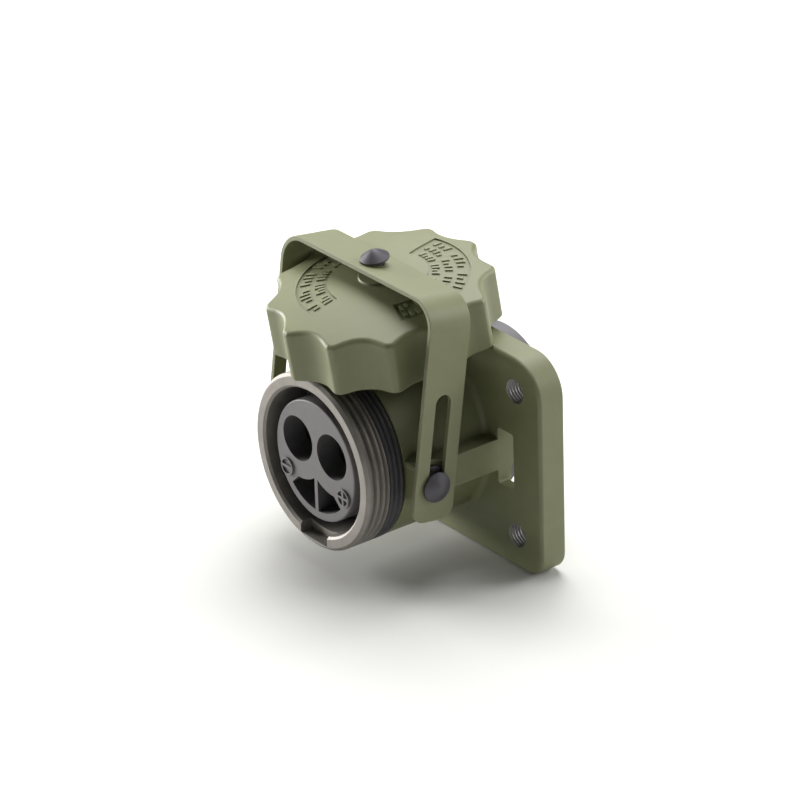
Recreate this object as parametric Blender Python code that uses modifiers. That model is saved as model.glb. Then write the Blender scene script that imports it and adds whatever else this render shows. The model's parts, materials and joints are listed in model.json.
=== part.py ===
"""Two-pole panel socket with a threaded front collar and a screw cap held by a slotted bail.

Metres, +Z up. The origin is the middle of the four bolt holes on the flange's back face.
The socket's axis is Y, and its open front faces -Y. A depth counts from the flange's back
face towards the front, so depth d lies at y = -d, and the rear pieces have negative depths.
"""
import math

import bmesh
import bpy
from mathutils import Matrix

# Gap between pieces that seat on each other, and how far a cutter runs past its cut
CLEAR = 0.0003
OVERRUN = 0.001

# Flange
FLANGE_WIDTH = 0.1275
FLANGE_HEIGHT = 0.0852
FLANGE_THICK = 0.0114
FLANGE_UPPER_CORNER = 0.0145
FLANGE_LOWER_CORNER = 0.0085
FLANGE_EDGE = 0.0015
BOLT_EDGE_X = 0.01385
BOLT_EDGE_Z = 0.0133
BOLT_HOLE_RADIUS = 0.0045

# Barrel with its side ribs and stud bosses
BARREL_DEPTH = 0.0494
BARREL_STEP = 0.0002
BARREL_FILLET = 0.0025
BORE_LEDGE_DEPTH = 0.0340
BORE_LEDGE_WIDTH = 0.0052
RIB_PROUD = 0.0058
RIB_HEIGHT = 0.0124
BOSS_RADIUS = 0.0090
BOSS_PROUD = 0.0010

# Threaded collar
COLLAR_STANDOUT = 0.0174
COLLAR_WALL = 0.00545
COLLAR_CHAMFER = 0.0014
COLLAR_BORE_CHAMFER = 0.0009
COLLAR_SHANK_STEP = 0.0030
THREAD_LENGTH = 0.0101
THREAD_LAND = 0.0018
THREAD_PITCH = 0.0028
THREAD_HEIGHT = 0.0012
THREAD_SHARES = (0.20, 0.40, 0.70, 0.90)
KEYWAY_WIDTH = 0.0160
KEYWAY_CUT = 0.0033
KEYWAY_LENGTH = 0.0050

# Ribbed seal ring behind the thread
SEAL_RIB_HEIGHT = 0.0009
SEAL_RIBS = 3
SEAL_CREST_SHARES = (0.30, 0.60)

# Contact insert
CONTACT_HOLE_RADIUS = 0.0088
CONTACT_WEB = 0.0028
CONTACT_Z = 0.0054
INSERT_MARGIN = 0.0045
SLEEVE_GAP = 0.00505
INSERT_RECESS = 0.0019
INSERT_CHAMFER = 0.0008
INSERT_FOOT = 0.0120
INSERT_BACK_DEPTH = 0.0060
WINDOW_MARGIN = 0.0033
WINDOW_HALF_ANGLE = 46.0
WINDOW_WALL = 0.0069
WINDOW_RIB = 0.0018
WINDOW_POCKET = 0.0150
RETAINER_THICK = 0.0030
RETAINER_BORE_GAP = 0.0008
RETAINER_SLOT = 0.0030
RETAINER_SLOT_DEPTH = 0.0014

# Contacts with their spring cages and terminal ends
CONTACT_RECESS = 0.0089
CONTACT_WALL = 0.0023
CONTACT_BORE_DEPTH = 0.0300
CONTACT_HEEL = 0.0063
CONTACT_CHAMFER = 0.0006
TERMINAL_RADIUS = 0.0040
TERMINAL_END = -0.0215
TERMINAL_CHAMFER = 0.0006
CAGE_WALL = 0.0006
CAGE_LENGTH = 0.0200
CAGE_BAND = 0.0025
CAGE_SLOT = 0.0012
CAGE_SLOT_PAIRS = 4

# Rear shroud round the terminals
SHROUD_STEP = 0.0017
SHROUD_WALL = 0.0025
SHROUD_END = -0.0249
SHROUD_FLOOR = 0.0060
SHROUD_BASE_THICK = 0.0040
SHROUD_CHAMFER = 0.0008
BARRIER_THICK = 0.0020
BARRIER_HEIGHT = 0.0130
CABLE_NOTCH_WIDTH = 0.0110
CABLE_NOTCH_DEPTH = 0.0110
WASHER_GAP = 0.0012
WASHER_THICK = 0.0016
NUT_MARGIN = 0.0005
NUT_THICK = 0.0050
SCREW_RADIUS = 0.0018
SCREW_HEAD_RADIUS = 0.0030
SCREW_HEAD_HEIGHT = 0.0020
SCREW_INSET = 0.0053
SCREW_LAND = 0.0034
SCREW_DEPTH = 0.0080
SCREW_COUNT = 4

# Bail: a slotted strap that swings on two studs and slides along them
PIVOT_SETBACK = 0.0052
BAIL_LEAN = 8.2
BAIL_STANDOFF = 0.0039
BAIL_STRAP_WIDTH = 0.0182
BAIL_THICK = 0.0018
BAIL_BEND = 0.0110
BAIL_TAIL = 0.0135
BAIL_TAIL_CORNER = 0.0052
SLOT_TRAVEL = 0.0319
TAIL_SIDE_CLEAR = 0.0040
TAIL_END_CLEAR = 0.0022
STUD_HEAD_RADIUS = 0.0061
STUD_HEAD_HEIGHT = 0.0028
STUD_RADIUS = 0.00315
STUD_WALL = 0.0022
PIVOT_WASHER_RADIUS = 0.0070

# Cap, its rivet and its gasket
CAP_TILT = 9.0
CAP_RIDE = 0.0002
CAP_WALL = 0.0070
CAP_LOBES = 12
CAP_LOBE_PHASE = -124.0
SCALLOP_DEPTH = 0.0042
RIDGE_WIDTH = 0.0045
CAP_SIDE = 0.0205
CAP_EDGE = 0.0018
CAP_RIM_EDGE = 0.0008
CAP_DOME_RISE = 0.0046
CAP_THREAD_PLAY = 0.0010
CAP_LEAD_IN = 0.0020
CAP_DECK = 0.0040
CAP_POCKET_RISE = 0.0007
CAP_POCKET_LIP = 0.0010
PAD_RADIUS = 0.0076
PAD_HEIGHT = 0.0008
PAD_GAP = 0.0026
GASKET_THICK = 0.0022
GASKET_WIDTH = 0.0092
RIVET_RADIUS = 0.0025
RIVET_HEAD_RADIUS = 0.0054
RIVET_HEAD_HEIGHT = 0.0032
RIVET_HEAD_GAP = 0.0019
RIVET_HOLE_GAP = 0.0008
RIVET_TAIL_RADIUS = 0.0044
RIVET_TAIL_HEIGHT = 0.0015
RIVET_WASHER_RADIUS = 0.0065
RIVET_WASHER_THICK = 0.0010

# Facet counts
ROUND = 48
SMALL_ROUND = 20
ARC = 6
SMOOTH_ANGLE = 32
MERGE = 0.00001

# Radii worked out from the contacts outwards
contact_x = CONTACT_HOLE_RADIUS + CONTACT_WEB / 2
contact_bore = CONTACT_HOLE_RADIUS - CLEAR - CONTACT_WALL
insert_radius = contact_x + CONTACT_HOLE_RADIUS + INSERT_MARGIN
window_radius = insert_radius - WINDOW_MARGIN
collar_bore = insert_radius + SLEEVE_GAP
collar_radius = collar_bore + COLLAR_WALL
shank_radius = collar_radius - COLLAR_SHANK_STEP
barrel_radius = collar_radius - BARREL_STEP
bore_radius = shank_radius - BORE_LEDGE_WIDTH
insert_flange_radius = collar_bore - CLEAR
insert_rear_radius = bore_radius - CLEAR
shroud_radius = bore_radius + SHROUD_STEP
screw_circle = bore_radius + SCREW_INSET
shroud_base_radius = screw_circle + SCREW_LAND
washer_radius = contact_x - BARRIER_THICK / 2 - WASHER_GAP
cap_bore = collar_radius + CAP_THREAD_PLAY
cap_radius = cap_bore + CAP_WALL
gasket_outer = cap_bore - CLEAR
gasket_inner = gasket_outer - GASKET_WIDTH
pocket_radius = gasket_inner - CAP_POCKET_LIP

# Places across the flange and out to the bail
bolt_x = FLANGE_WIDTH / 2 - BOLT_EDGE_X
bolt_z = FLANGE_HEIGHT / 2 - BOLT_EDGE_Z
rib_face = barrel_radius + RIB_PROUD
boss_face = rib_face + BOSS_PROUD
bail_half_width = boss_face + BAIL_STANDOFF
strap_inner = bail_half_width - BAIL_THICK
slot_radius = STUD_RADIUS + CLEAR
stud_end = shank_radius + CLEAR + STUD_WALL

# Depths from the flange's back face
pivot_depth = BARREL_DEPTH - PIVOT_SETBACK
collar_front = BARREL_DEPTH + COLLAR_STANDOUT
thread_back = collar_front - THREAD_LENGTH
insert_front = collar_front - INSERT_RECESS
insert_flange_depth = BORE_LEDGE_DEPTH + INSERT_FOOT
contact_front = insert_front - CONTACT_RECESS
contact_floor = contact_front - CONTACT_BORE_DEPTH
contact_hole_end = contact_floor - CONTACT_HEEL
shroud_floor_level = -(CLEAR + SHROUD_FLOOR)

# Levels along the cap's axis, from the middle of the crossbar's thickness
pad_level = -(BAIL_THICK / 2 + PAD_GAP)
shoulder_level = pad_level - PAD_HEIGHT - CAP_DOME_RISE
rim_level = shoulder_level - CAP_SIDE
gasket_level = shoulder_level - CAP_DECK
pocket_level = shoulder_level + CAP_POCKET_RISE
head_level = BAIL_THICK / 2 + RIVET_HEAD_GAP
POLES = (("positive", 1), ("negative", -1))
SIDES = (("right", 1), ("left", -1))


def open_reach(height, depth):
    """Reach from stud to crossbar at which the open cap's rim lies just over an edge."""
    lean, tilt = math.radians(BAIL_LEAN), math.radians(CAP_TILT)
    rise = (height + CAP_RIDE) * math.cos(tilt) + (depth - pivot_depth) * math.sin(tilt)
    return (rise - rim_level) / math.cos(lean + tilt)


# The open cap rests over the collar's front edge or the flange's top edge, whichever is higher
rock_reach = max(open_reach(collar_radius, collar_front), open_reach(FLANGE_HEIGHT / 2, FLANGE_THICK))
bail_reach = rock_reach + BAIL_THICK / 2


def clear_scene():
    for obj in list(bpy.data.objects):
        bpy.data.objects.remove(obj, do_unlink=True)


def collection(name):
    group = bpy.data.collections.new(name)
    bpy.context.scene.collection.children.link(group)
    return group


clear_scene()
parts = collection("panel_socket")
cutters = collection("cutters")


def material(name, colour, roughness, metallic):
    mat = bpy.data.materials.new(name)
    mat.use_nodes = True
    shader = mat.node_tree.nodes["Principled BSDF"]
    shader.inputs["Base Color"].default_value = (*colour, 1)
    shader.inputs["Roughness"].default_value = roughness
    shader.inputs["Metallic"].default_value = metallic
    return mat


paint = material("olive_paint", (0.235, 0.240, 0.135), 0.55, 0.0)
alloy = material("bare_alloy", (0.46, 0.43, 0.39), 0.45, 0.9)
rubber = material("black_rubber", (0.022, 0.021, 0.025), 0.6, 0.0)
moulding = material("grey_moulding", (0.20, 0.19, 0.185), 0.5, 0.0)
rear_moulding = material("rear_moulding", (0.26, 0.245, 0.265), 0.55, 0.0)
brass = material("contact_brass", (0.55, 0.42, 0.20), 0.35, 1.0)
plated = material("plated_steel", (0.50, 0.50, 0.48), 0.35, 1.0)
blackened = material("blackened_steel", (0.075, 0.07, 0.08), 0.42, 0.7)


def link(name, mesh, group, mat=None):
    obj = bpy.data.objects.new(name, mesh)
    group.objects.link(obj)
    if mat:
        mesh.materials.clear()
        mesh.materials.append(mat)
    if group is cutters:
        obj.hide_render = True
        obj.display_type = "WIRE"
    return obj


def turned(name, profile, group, mat=None, steps=ROUND, ring=False):
    """Spins (radius, level) points about local Z; a ring's last point joins its first."""
    mesh = bpy.data.meshes.new(name)
    edges = [(i, i + 1) for i in range(len(profile) - 1)]
    if ring:
        edges.append((len(profile) - 1, 0))
    mesh.from_pydata([(r, 0, z) for r, z in profile], edges, [])
    obj = link(name, mesh, group, mat)
    screw = obj.modifiers.new("spin", "SCREW")
    screw.axis = "Z"
    screw.angle = math.tau
    screw.steps = steps
    screw.render_steps = steps
    screw.use_merge_vertices = True
    screw.merge_threshold = MERGE
    return obj


def mesh_from(name, bm, group, mat=None):
    bmesh.ops.recalc_face_normals(bm, faces=bm.faces)
    mesh = bpy.data.meshes.new(name)
    bm.to_mesh(mesh)
    bm.free()
    return link(name, mesh, group, mat)


def box(name, low, high, group, mat=None):
    """A box between two corners in local coordinates, given in any order."""
    bm = bmesh.new()
    bmesh.ops.create_cube(bm, size=1)
    size = [abs(b - a) for a, b in zip(low, high)]
    centre = [(a + b) / 2 for a, b in zip(low, high)]
    bmesh.ops.scale(bm, vec=size, verts=bm.verts)
    bmesh.ops.translate(bm, vec=centre, verts=bm.verts)
    return mesh_from(name, bm, group, mat)


def rod(name, radius, low, high, group, mat=None, segments=SMALL_ROUND):
    """A cylinder along local Z between two levels."""
    bm = bmesh.new()
    bmesh.ops.create_cone(bm, cap_ends=True, segments=segments, radius1=radius, radius2=radius,
                          depth=high - low, matrix=Matrix.Translation((0, 0, (low + high) / 2)))
    return mesh_from(name, bm, group, mat)


def prism(name, points, low, high, group):
    """A flat outline in local XY, filled and given its thickness between two levels."""
    curve = bpy.data.curves.new(name, "CURVE")
    curve.dimensions = "2D"
    curve.fill_mode = "BOTH"
    curve.extrude = (high - low) / 2
    spline = curve.splines.new("POLY")
    spline.points.add(len(points) - 1)
    for point, (x, y) in zip(spline.points, points):
        point.co = (x, y, 0, 1)
    spline.use_cyclic_u = True
    guide = bpy.data.objects.new(name + "_curve", curve)
    group.objects.link(guide)
    filled = bpy.data.meshes.new_from_object(guide.evaluated_get(bpy.context.evaluated_depsgraph_get()))
    bpy.data.objects.remove(guide)
    bm = bmesh.new()
    bm.from_mesh(filled)
    bpy.data.meshes.remove(filled)
    bmesh.ops.remove_doubles(bm, verts=bm.verts, dist=MERGE)
    bmesh.ops.translate(bm, vec=(0, 0, (low + high) / 2), verts=bm.verts)
    return mesh_from(name, bm, group)


def arc(centre_x, centre_y, radius, start, end, count=ARC):
    """Points on an arc, both ends included, angles in degrees."""
    turn = [math.radians(start + (end - start) * i / count) for i in range(count + 1)]
    return [(centre_x + radius * math.cos(t), centre_y + radius * math.sin(t)) for t in turn]


def place(obj, location=(0, 0, 0), rotation=(0, 0, 0), parent=None):
    obj.location = location
    obj.rotation_euler = [math.radians(a) for a in rotation]
    obj.parent = parent
    return obj


def face_front(obj, x=0.0, z=0.0):
    """Turns local Z to the front, so that a level is a depth."""
    return place(obj, (x, 0, z), (90, 0, 0))


def face_side(obj, side, depth, parent=None):
    """Turns local Z outwards along X at the given depth."""
    return place(obj, (0, -depth, 0), (0, 90 * side, 0), parent)


def cut(obj, tool, operation="DIFFERENCE"):
    change = obj.modifiers.new(tool.name, "BOOLEAN")
    change.solver = "EXACT"
    change.operation = operation
    change.object = tool


def empty(name, location, rotation, parent=None):
    frame = bpy.data.objects.new(name, None)
    parts.objects.link(frame)
    return place(frame, location, rotation, parent)


def rounded_plate(name, width, height, thick, corners, edge, group, mat):
    """A plate in local XY from level 0 up, with round corners (+Y pair, -Y pair) and a soft rim."""
    bm = bmesh.new()
    bmesh.ops.create_cube(bm, size=1)
    bmesh.ops.scale(bm, vec=(width, height, thick), verts=bm.verts)
    bmesh.ops.translate(bm, vec=(0, 0, thick / 2), verts=bm.verts)
    for side, corner in zip((1, -1), corners):
        upright = [e for e in bm.edges if abs(e.verts[0].co.z - e.verts[1].co.z) > thick / 2
                   and min(side * v.co.y for v in e.verts) > height / 2 - MERGE]
        bmesh.ops.bevel(bm, geom=upright, offset=corner, segments=ARC, profile=0.5, affect="EDGES")
    rim = [e for e in bm.edges if min(v.co.z for v in e.verts) > thick / 2]
    bmesh.ops.bevel(bm, geom=rim, offset=edge, segments=ARC // 2, profile=0.5, affect="EDGES")
    return mesh_from(name, bm, group, mat)


def make_housing():
    """One casting: flange, barrel, side ribs and stud bosses, with its stepped bore."""
    flange = face_front(rounded_plate("housing", FLANGE_WIDTH, FLANGE_HEIGHT, FLANGE_THICK,
                                      (FLANGE_UPPER_CORNER, FLANGE_LOWER_CORNER), FLANGE_EDGE, parts, paint))
    foot = barrel_radius + BARREL_FILLET
    fillet = arc(foot, FLANGE_THICK + BARREL_FILLET, BARREL_FILLET, 180, 270, 4)
    barrel = turned("barrel", [(0, BARREL_DEPTH), (barrel_radius, BARREL_DEPTH), *fillet,
                               (foot, FLANGE_THICK - OVERRUN), (0, FLANGE_THICK - OVERRUN)], cutters)
    cut(flange, face_front(barrel), "UNION")
    for name, side in SIDES:
        rib = box("rib_" + name, (0, -RIB_HEIGHT / 2, FLANGE_THICK - OVERRUN),
                  (side * rib_face, RIB_HEIGHT / 2, pivot_depth), cutters)
        cut(flange, face_front(rib), "UNION")
        boss = rod("boss_" + name, BOSS_RADIUS, 0, boss_face, cutters, segments=SMALL_ROUND)
        cut(flange, face_side(boss, side, pivot_depth), "UNION")
    front = box("barrel_front", (-FLANGE_WIDTH, -FLANGE_WIDTH, BARREL_DEPTH),
                (FLANGE_WIDTH, FLANGE_WIDTH, BARREL_DEPTH + BOSS_RADIUS), cutters)
    cut(flange, face_front(front))
    collar_seat = shank_radius + CLEAR
    bore = turned("bore", [(0, BARREL_DEPTH + OVERRUN), (collar_seat, BARREL_DEPTH + OVERRUN),
                           (collar_seat, BORE_LEDGE_DEPTH), (bore_radius, BORE_LEDGE_DEPTH),
                           (bore_radius, -OVERRUN), (0, -OVERRUN)], cutters)
    cut(flange, face_front(bore))
    for ix in (-1, 1):
        for iz in (-1, 1):
            hole = rod("bolt_hole", BOLT_HOLE_RADIUS, -OVERRUN, FLANGE_THICK + OVERRUN, cutters)
            cut(flange, face_front(hole, ix * bolt_x, iz * bolt_z))
    window_top = BAIL_STRAP_WIDTH / 2 + TAIL_END_CLEAR
    window_side = bail_half_width + TAIL_SIDE_CLEAR
    for name, side in SIDES:
        window = box("tail_window_" + name, (side * rib_face, -window_top, -OVERRUN),
                     (side * window_side, window_top, FLANGE_THICK + OVERRUN), cutters)
        cut(flange, face_front(window))
        tapping = rod("stud_hole_" + name, STUD_RADIUS + CLEAR, stud_end - CLEAR,
                      boss_face + OVERRUN, cutters)
        cut(flange, face_side(tapping, side, pivot_depth))
    for x, z in screw_places():
        hole = rod("screw_hole", SCREW_RADIUS + CLEAR, -OVERRUN, SCREW_DEPTH + CLEAR, cutters)
        cut(flange, face_front(hole, x, z))


def screw_places():
    turn = [math.tau * (i + 0.5) / SCREW_COUNT for i in range(SCREW_COUNT)]
    return [(screw_circle * math.cos(t), screw_circle * math.sin(t)) for t in turn]


def make_collar():
    """Front land, thread crests and a shank that seats in the barrel."""
    outer = [(collar_radius - COLLAR_CHAMFER, collar_front), (collar_radius, collar_front - COLLAR_CHAMFER)]
    level = collar_front - THREAD_LAND
    root = collar_radius - THREAD_HEIGHT
    while level - THREAD_PITCH > thread_back:
        fall, low, rise, crest = [level - THREAD_PITCH * share for share in THREAD_SHARES]
        outer += [(collar_radius, fall), (root, low), (root, rise), (collar_radius, crest)]
        level -= THREAD_PITCH
    tail = BORE_LEDGE_DEPTH + CLEAR
    outer += [(collar_radius, thread_back), (shank_radius, thread_back), (shank_radius, tail)]
    inner = [(collar_bore, tail), (collar_bore, collar_front - COLLAR_BORE_CHAMFER),
             (collar_bore + COLLAR_BORE_CHAMFER, collar_front)]
    collar = face_front(turned("front_collar", outer + inner, parts, alloy, ring=True))
    keyway = box("keyway", (-KEYWAY_WIDTH / 2, -(collar_bore + KEYWAY_CUT), collar_front - KEYWAY_LENGTH),
                 (KEYWAY_WIDTH / 2, 0, collar_front + OVERRUN), cutters)
    cut(collar, face_front(keyway))


def make_seal():
    front = thread_back - CLEAR
    back = BARREL_DEPTH + CLEAR
    step = (front - back) / SEAL_RIBS
    valley = collar_radius - SEAL_RIB_HEIGHT
    outer = [(valley, front)]
    for i in range(SEAL_RIBS):
        top = front - step * i
        outer += [(collar_radius, top - step * share) for share in SEAL_CREST_SHARES]
        outer.append((valley, top - step))
    inner = shank_radius + CLEAR
    face_front(turned("seal_ring", outer + [(inner, back), (inner, front)], parts, rubber, ring=True))


def window_half():
    """Right half of the lower window: a hole-side arc, a radial side and an outer arc."""
    rib = WINDOW_RIB / 2
    reach = CONTACT_HOLE_RADIUS + WINDOW_WALL
    side = math.radians(WINDOW_HALF_ANGLE)
    sx, sz = math.sin(side), -math.cos(side)
    b = -(sx * contact_x + sz * CONTACT_Z)
    c = contact_x ** 2 + CONTACT_Z ** 2 - reach ** 2
    along = -b + math.sqrt(b * b - c)
    start = math.degrees(math.atan2(-math.sqrt(reach ** 2 - (rib - contact_x) ** 2), rib - contact_x))
    end = math.degrees(math.atan2(sz * along - CONTACT_Z, sx * along - contact_x))
    lower = math.degrees(math.asin(rib / window_radius))
    return (arc(contact_x, CONTACT_Z, reach, start, end)
            + arc(0, 0, window_radius, WINDOW_HALF_ANGLE - 90, lower - 90))


def make_insert():
    """Moulded plug with two contact holes and the divided window, and the insulator behind it."""
    foot = BORE_LEDGE_DEPTH + CLEAR
    profile = [(0, insert_front), (insert_radius - INSERT_CHAMFER, insert_front),
               (insert_radius, insert_front - INSERT_CHAMFER), (insert_radius, insert_flange_depth),
               (insert_flange_radius, insert_flange_depth), (insert_flange_radius, foot), (0, foot)]
    insert = face_front(turned("contact_insert", profile, parts, moulding))
    hole_back = INSERT_BACK_DEPTH - OVERRUN
    insulator = face_front(rod("rear_insulator", insert_rear_radius, INSERT_BACK_DEPTH, foot - CLEAR,
                               parts, moulding, segments=ROUND))
    for name, side in POLES:
        hole = turned("contact_hole_" + name, [
            (0, collar_front), (CONTACT_HOLE_RADIUS, collar_front), (CONTACT_HOLE_RADIUS, contact_hole_end),
            (TERMINAL_RADIUS + CLEAR, contact_hole_end), (TERMINAL_RADIUS + CLEAR, hole_back),
            (0, hole_back)], cutters, steps=SMALL_ROUND)
        cut(insert, face_front(hole, side * contact_x, CONTACT_Z))
        cut(insulator, hole)
        outline = [(side * x, z) for x, z in window_half()]
        pocket = prism("window_" + name, outline, insert_front - WINDOW_POCKET, collar_front, cutters)
        cut(insert, face_front(pocket))
    back = insert_flange_depth + CLEAR
    bore = insert_radius + RETAINER_BORE_GAP
    ring = [(insert_flange_radius, back + RETAINER_THICK), (insert_flange_radius, back),
            (bore, back), (bore, back + RETAINER_THICK)]
    retainer = face_front(turned("insert_retainer", ring, parts, blackened, ring=True))
    top = back + RETAINER_THICK
    slot = box("retainer_slot", (-collar_bore, -RETAINER_SLOT / 2, top - RETAINER_SLOT_DEPTH),
               (collar_bore, RETAINER_SLOT / 2, top + OVERRUN), cutters)
    cut(retainer, face_front(slot))


def make_contact(name, side):
    """Socket tube with its terminal stud in one turned piece, and the spring cage in its bore."""
    outer = CONTACT_HOLE_RADIUS - CLEAR
    shoulder = contact_hole_end + CLEAR
    profile = [(0, contact_floor), (contact_bore, contact_floor),
               (contact_bore, contact_front - CONTACT_CHAMFER),
               (contact_bore + CONTACT_CHAMFER, contact_front), (outer - CONTACT_CHAMFER, contact_front),
               (outer, contact_front - CONTACT_CHAMFER), (outer, shoulder), (TERMINAL_RADIUS, shoulder),
               (TERMINAL_RADIUS, TERMINAL_END + TERMINAL_CHAMFER),
               (TERMINAL_RADIUS - TERMINAL_CHAMFER, TERMINAL_END), (0, TERMINAL_END)]
    contact = turned("contact_" + name, profile, parts, brass, steps=SMALL_ROUND)
    face_front(contact, side * contact_x, CONTACT_Z)
    cage_outer = contact_bore - CLEAR
    cage_inner = cage_outer - CAGE_WALL
    back = contact_floor + CLEAR
    front = back + CAGE_LENGTH
    cage = turned("spring_cage_" + name, [(cage_outer, front), (cage_outer, back), (cage_inner, back),
                                          (cage_inner, front)], parts, plated, steps=SMALL_ROUND, ring=True)
    face_front(cage, side * contact_x, CONTACT_Z)
    for i in range(CAGE_SLOT_PAIRS):
        slot = box("cage_slot", (-contact_bore, -CAGE_SLOT / 2, back + CAGE_BAND),
                   (contact_bore, CAGE_SLOT / 2, front - CAGE_BAND), cutters)
        turn = 180 * (i + 0.25) / CAGE_SLOT_PAIRS
        slot.data.transform(Matrix.Rotation(math.radians(turn), 4, "Z"))
        cut(cage, face_front(slot, side * contact_x, CONTACT_Z))


def make_terminal(name, side):
    """Washer and hexagon nut on the terminal stud."""
    hole = TERMINAL_RADIUS + CLEAR
    top = shroud_floor_level - CLEAR
    washer = turned("terminal_washer_" + name, [
        (washer_radius, top), (washer_radius, top - WASHER_THICK), (hole, top - WASHER_THICK), (hole, top)],
        parts, plated, steps=SMALL_ROUND, ring=True)
    face_front(washer, side * contact_x, CONTACT_Z)
    seat = top - WASHER_THICK - CLEAR
    nut = rod("terminal_nut_" + name, washer_radius - NUT_MARGIN, seat - NUT_THICK, seat,
              parts, plated, segments=6)
    thread = rod("nut_bore_" + name, hole, seat - NUT_THICK - OVERRUN, seat + OVERRUN, cutters)
    for piece in (nut, thread):
        face_front(piece, side * contact_x, CONTACT_Z)
    cut(nut, thread)


def make_shroud():
    """Rear moulding: a spigot in the bore, a screwed base and a wall round both terminals."""
    base = -CLEAR
    inner = shroud_radius - SHROUD_WALL
    profile = [(0, INSERT_BACK_DEPTH - CLEAR), (insert_rear_radius, INSERT_BACK_DEPTH - CLEAR),
               (insert_rear_radius, base), (shroud_base_radius, base),
               (shroud_base_radius, base - SHROUD_BASE_THICK), (shroud_radius, base - SHROUD_BASE_THICK),
               (shroud_radius, SHROUD_END + SHROUD_CHAMFER), (shroud_radius - SHROUD_CHAMFER, SHROUD_END),
               (inner, SHROUD_END), (inner, shroud_floor_level), (0, shroud_floor_level)]
    shroud = face_front(turned("rear_shroud", profile, parts, rear_moulding))
    barrier = box("barrier", (-BARRIER_THICK / 2, -inner - OVERRUN, shroud_floor_level - BARRIER_HEIGHT),
                  (BARRIER_THICK / 2, inner + OVERRUN, shroud_floor_level + OVERRUN), cutters)
    cut(shroud, face_front(barrier), "UNION")
    for name, side in POLES:
        hole = rod("terminal_hole_" + name, TERMINAL_RADIUS + CLEAR, shroud_floor_level - OVERRUN,
                   INSERT_BACK_DEPTH + OVERRUN, cutters)
        cut(shroud, face_front(hole, side * contact_x, CONTACT_Z))
        notch = box("cable_notch_" + name,
                    (-CABLE_NOTCH_WIDTH / 2, -shroud_radius - OVERRUN, SHROUD_END - OVERRUN),
                    (CABLE_NOTCH_WIDTH / 2, 0, SHROUD_END + CABLE_NOTCH_DEPTH), cutters)
        notch.data.transform(Matrix.Translation((side * contact_x, -contact_x, 0)))
        cut(shroud, face_front(notch))
    for i, (x, z) in enumerate(screw_places()):
        hole = rod("shroud_hole", SCREW_RADIUS + CLEAR, base - SHROUD_BASE_THICK - OVERRUN,
                   base + OVERRUN, cutters)
        cut(shroud, face_front(hole, x, z))
        under = base - SHROUD_BASE_THICK - CLEAR
        profile = [(0, SCREW_DEPTH), (SCREW_RADIUS, SCREW_DEPTH), (SCREW_RADIUS, under),
                   (SCREW_HEAD_RADIUS, under), (SCREW_HEAD_RADIUS, under - SCREW_HEAD_HEIGHT),
                   (0, under - SCREW_HEAD_HEIGHT)]
        screw = turned(f"rear_screw_{i + 1}", profile, parts, plated, steps=ARC * 2)
        face_front(screw, x, z)


def dome(radius, height, level):
    """Profile of a button head from its top down to its rim."""
    sphere = (radius ** 2 + height ** 2) / (2 * height)
    span = math.asin(min(1.0, radius / sphere))
    steps = ARC - 1
    middle = level + height - sphere
    turns = [span * i / steps for i in range(steps)]
    return [(sphere * math.sin(t), middle + sphere * math.cos(t)) for t in turns] + [(radius, level)]


def make_stud(name, side):
    """Domed stud in the boss, and the spacing washer that turns with the bail."""
    under = bail_half_width + CLEAR
    head = dome(STUD_HEAD_RADIUS, STUD_HEAD_HEIGHT, under + BAIL_THICK / 2)
    profile = head + [(STUD_HEAD_RADIUS, under), (STUD_RADIUS, under), (STUD_RADIUS, stud_end), (0, stud_end)]
    face_side(turned("bail_stud_" + name, profile, parts, blackened, steps=SMALL_ROUND), side, pivot_depth)
    low, high = boss_face + CLEAR, strap_inner - CLEAR
    inner = STUD_RADIUS + CLEAR
    ring = [(PIVOT_WASHER_RADIUS, high), (PIVOT_WASHER_RADIUS, low), (inner, low), (inner, high)]
    washer = turned("pivot_washer_" + name, ring, parts, blackened, steps=SMALL_ROUND, ring=True)
    place(washer, rotation=(0, 90 * side, 0), parent=bail_pivot)


def strap_path():
    """Outer face of the strap in the bail's XZ plane, from the right tail over to the left."""
    side = bail_half_width
    bend_x, bend_z = side - BAIL_BEND, bail_reach - BAIL_BEND
    return ([(side, -BAIL_TAIL)] + arc(bend_x, bend_z, BAIL_BEND, 0, 90)
            + arc(-bend_x, bend_z, BAIL_BEND, 90, 180) + [(-side, -BAIL_TAIL)])


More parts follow.
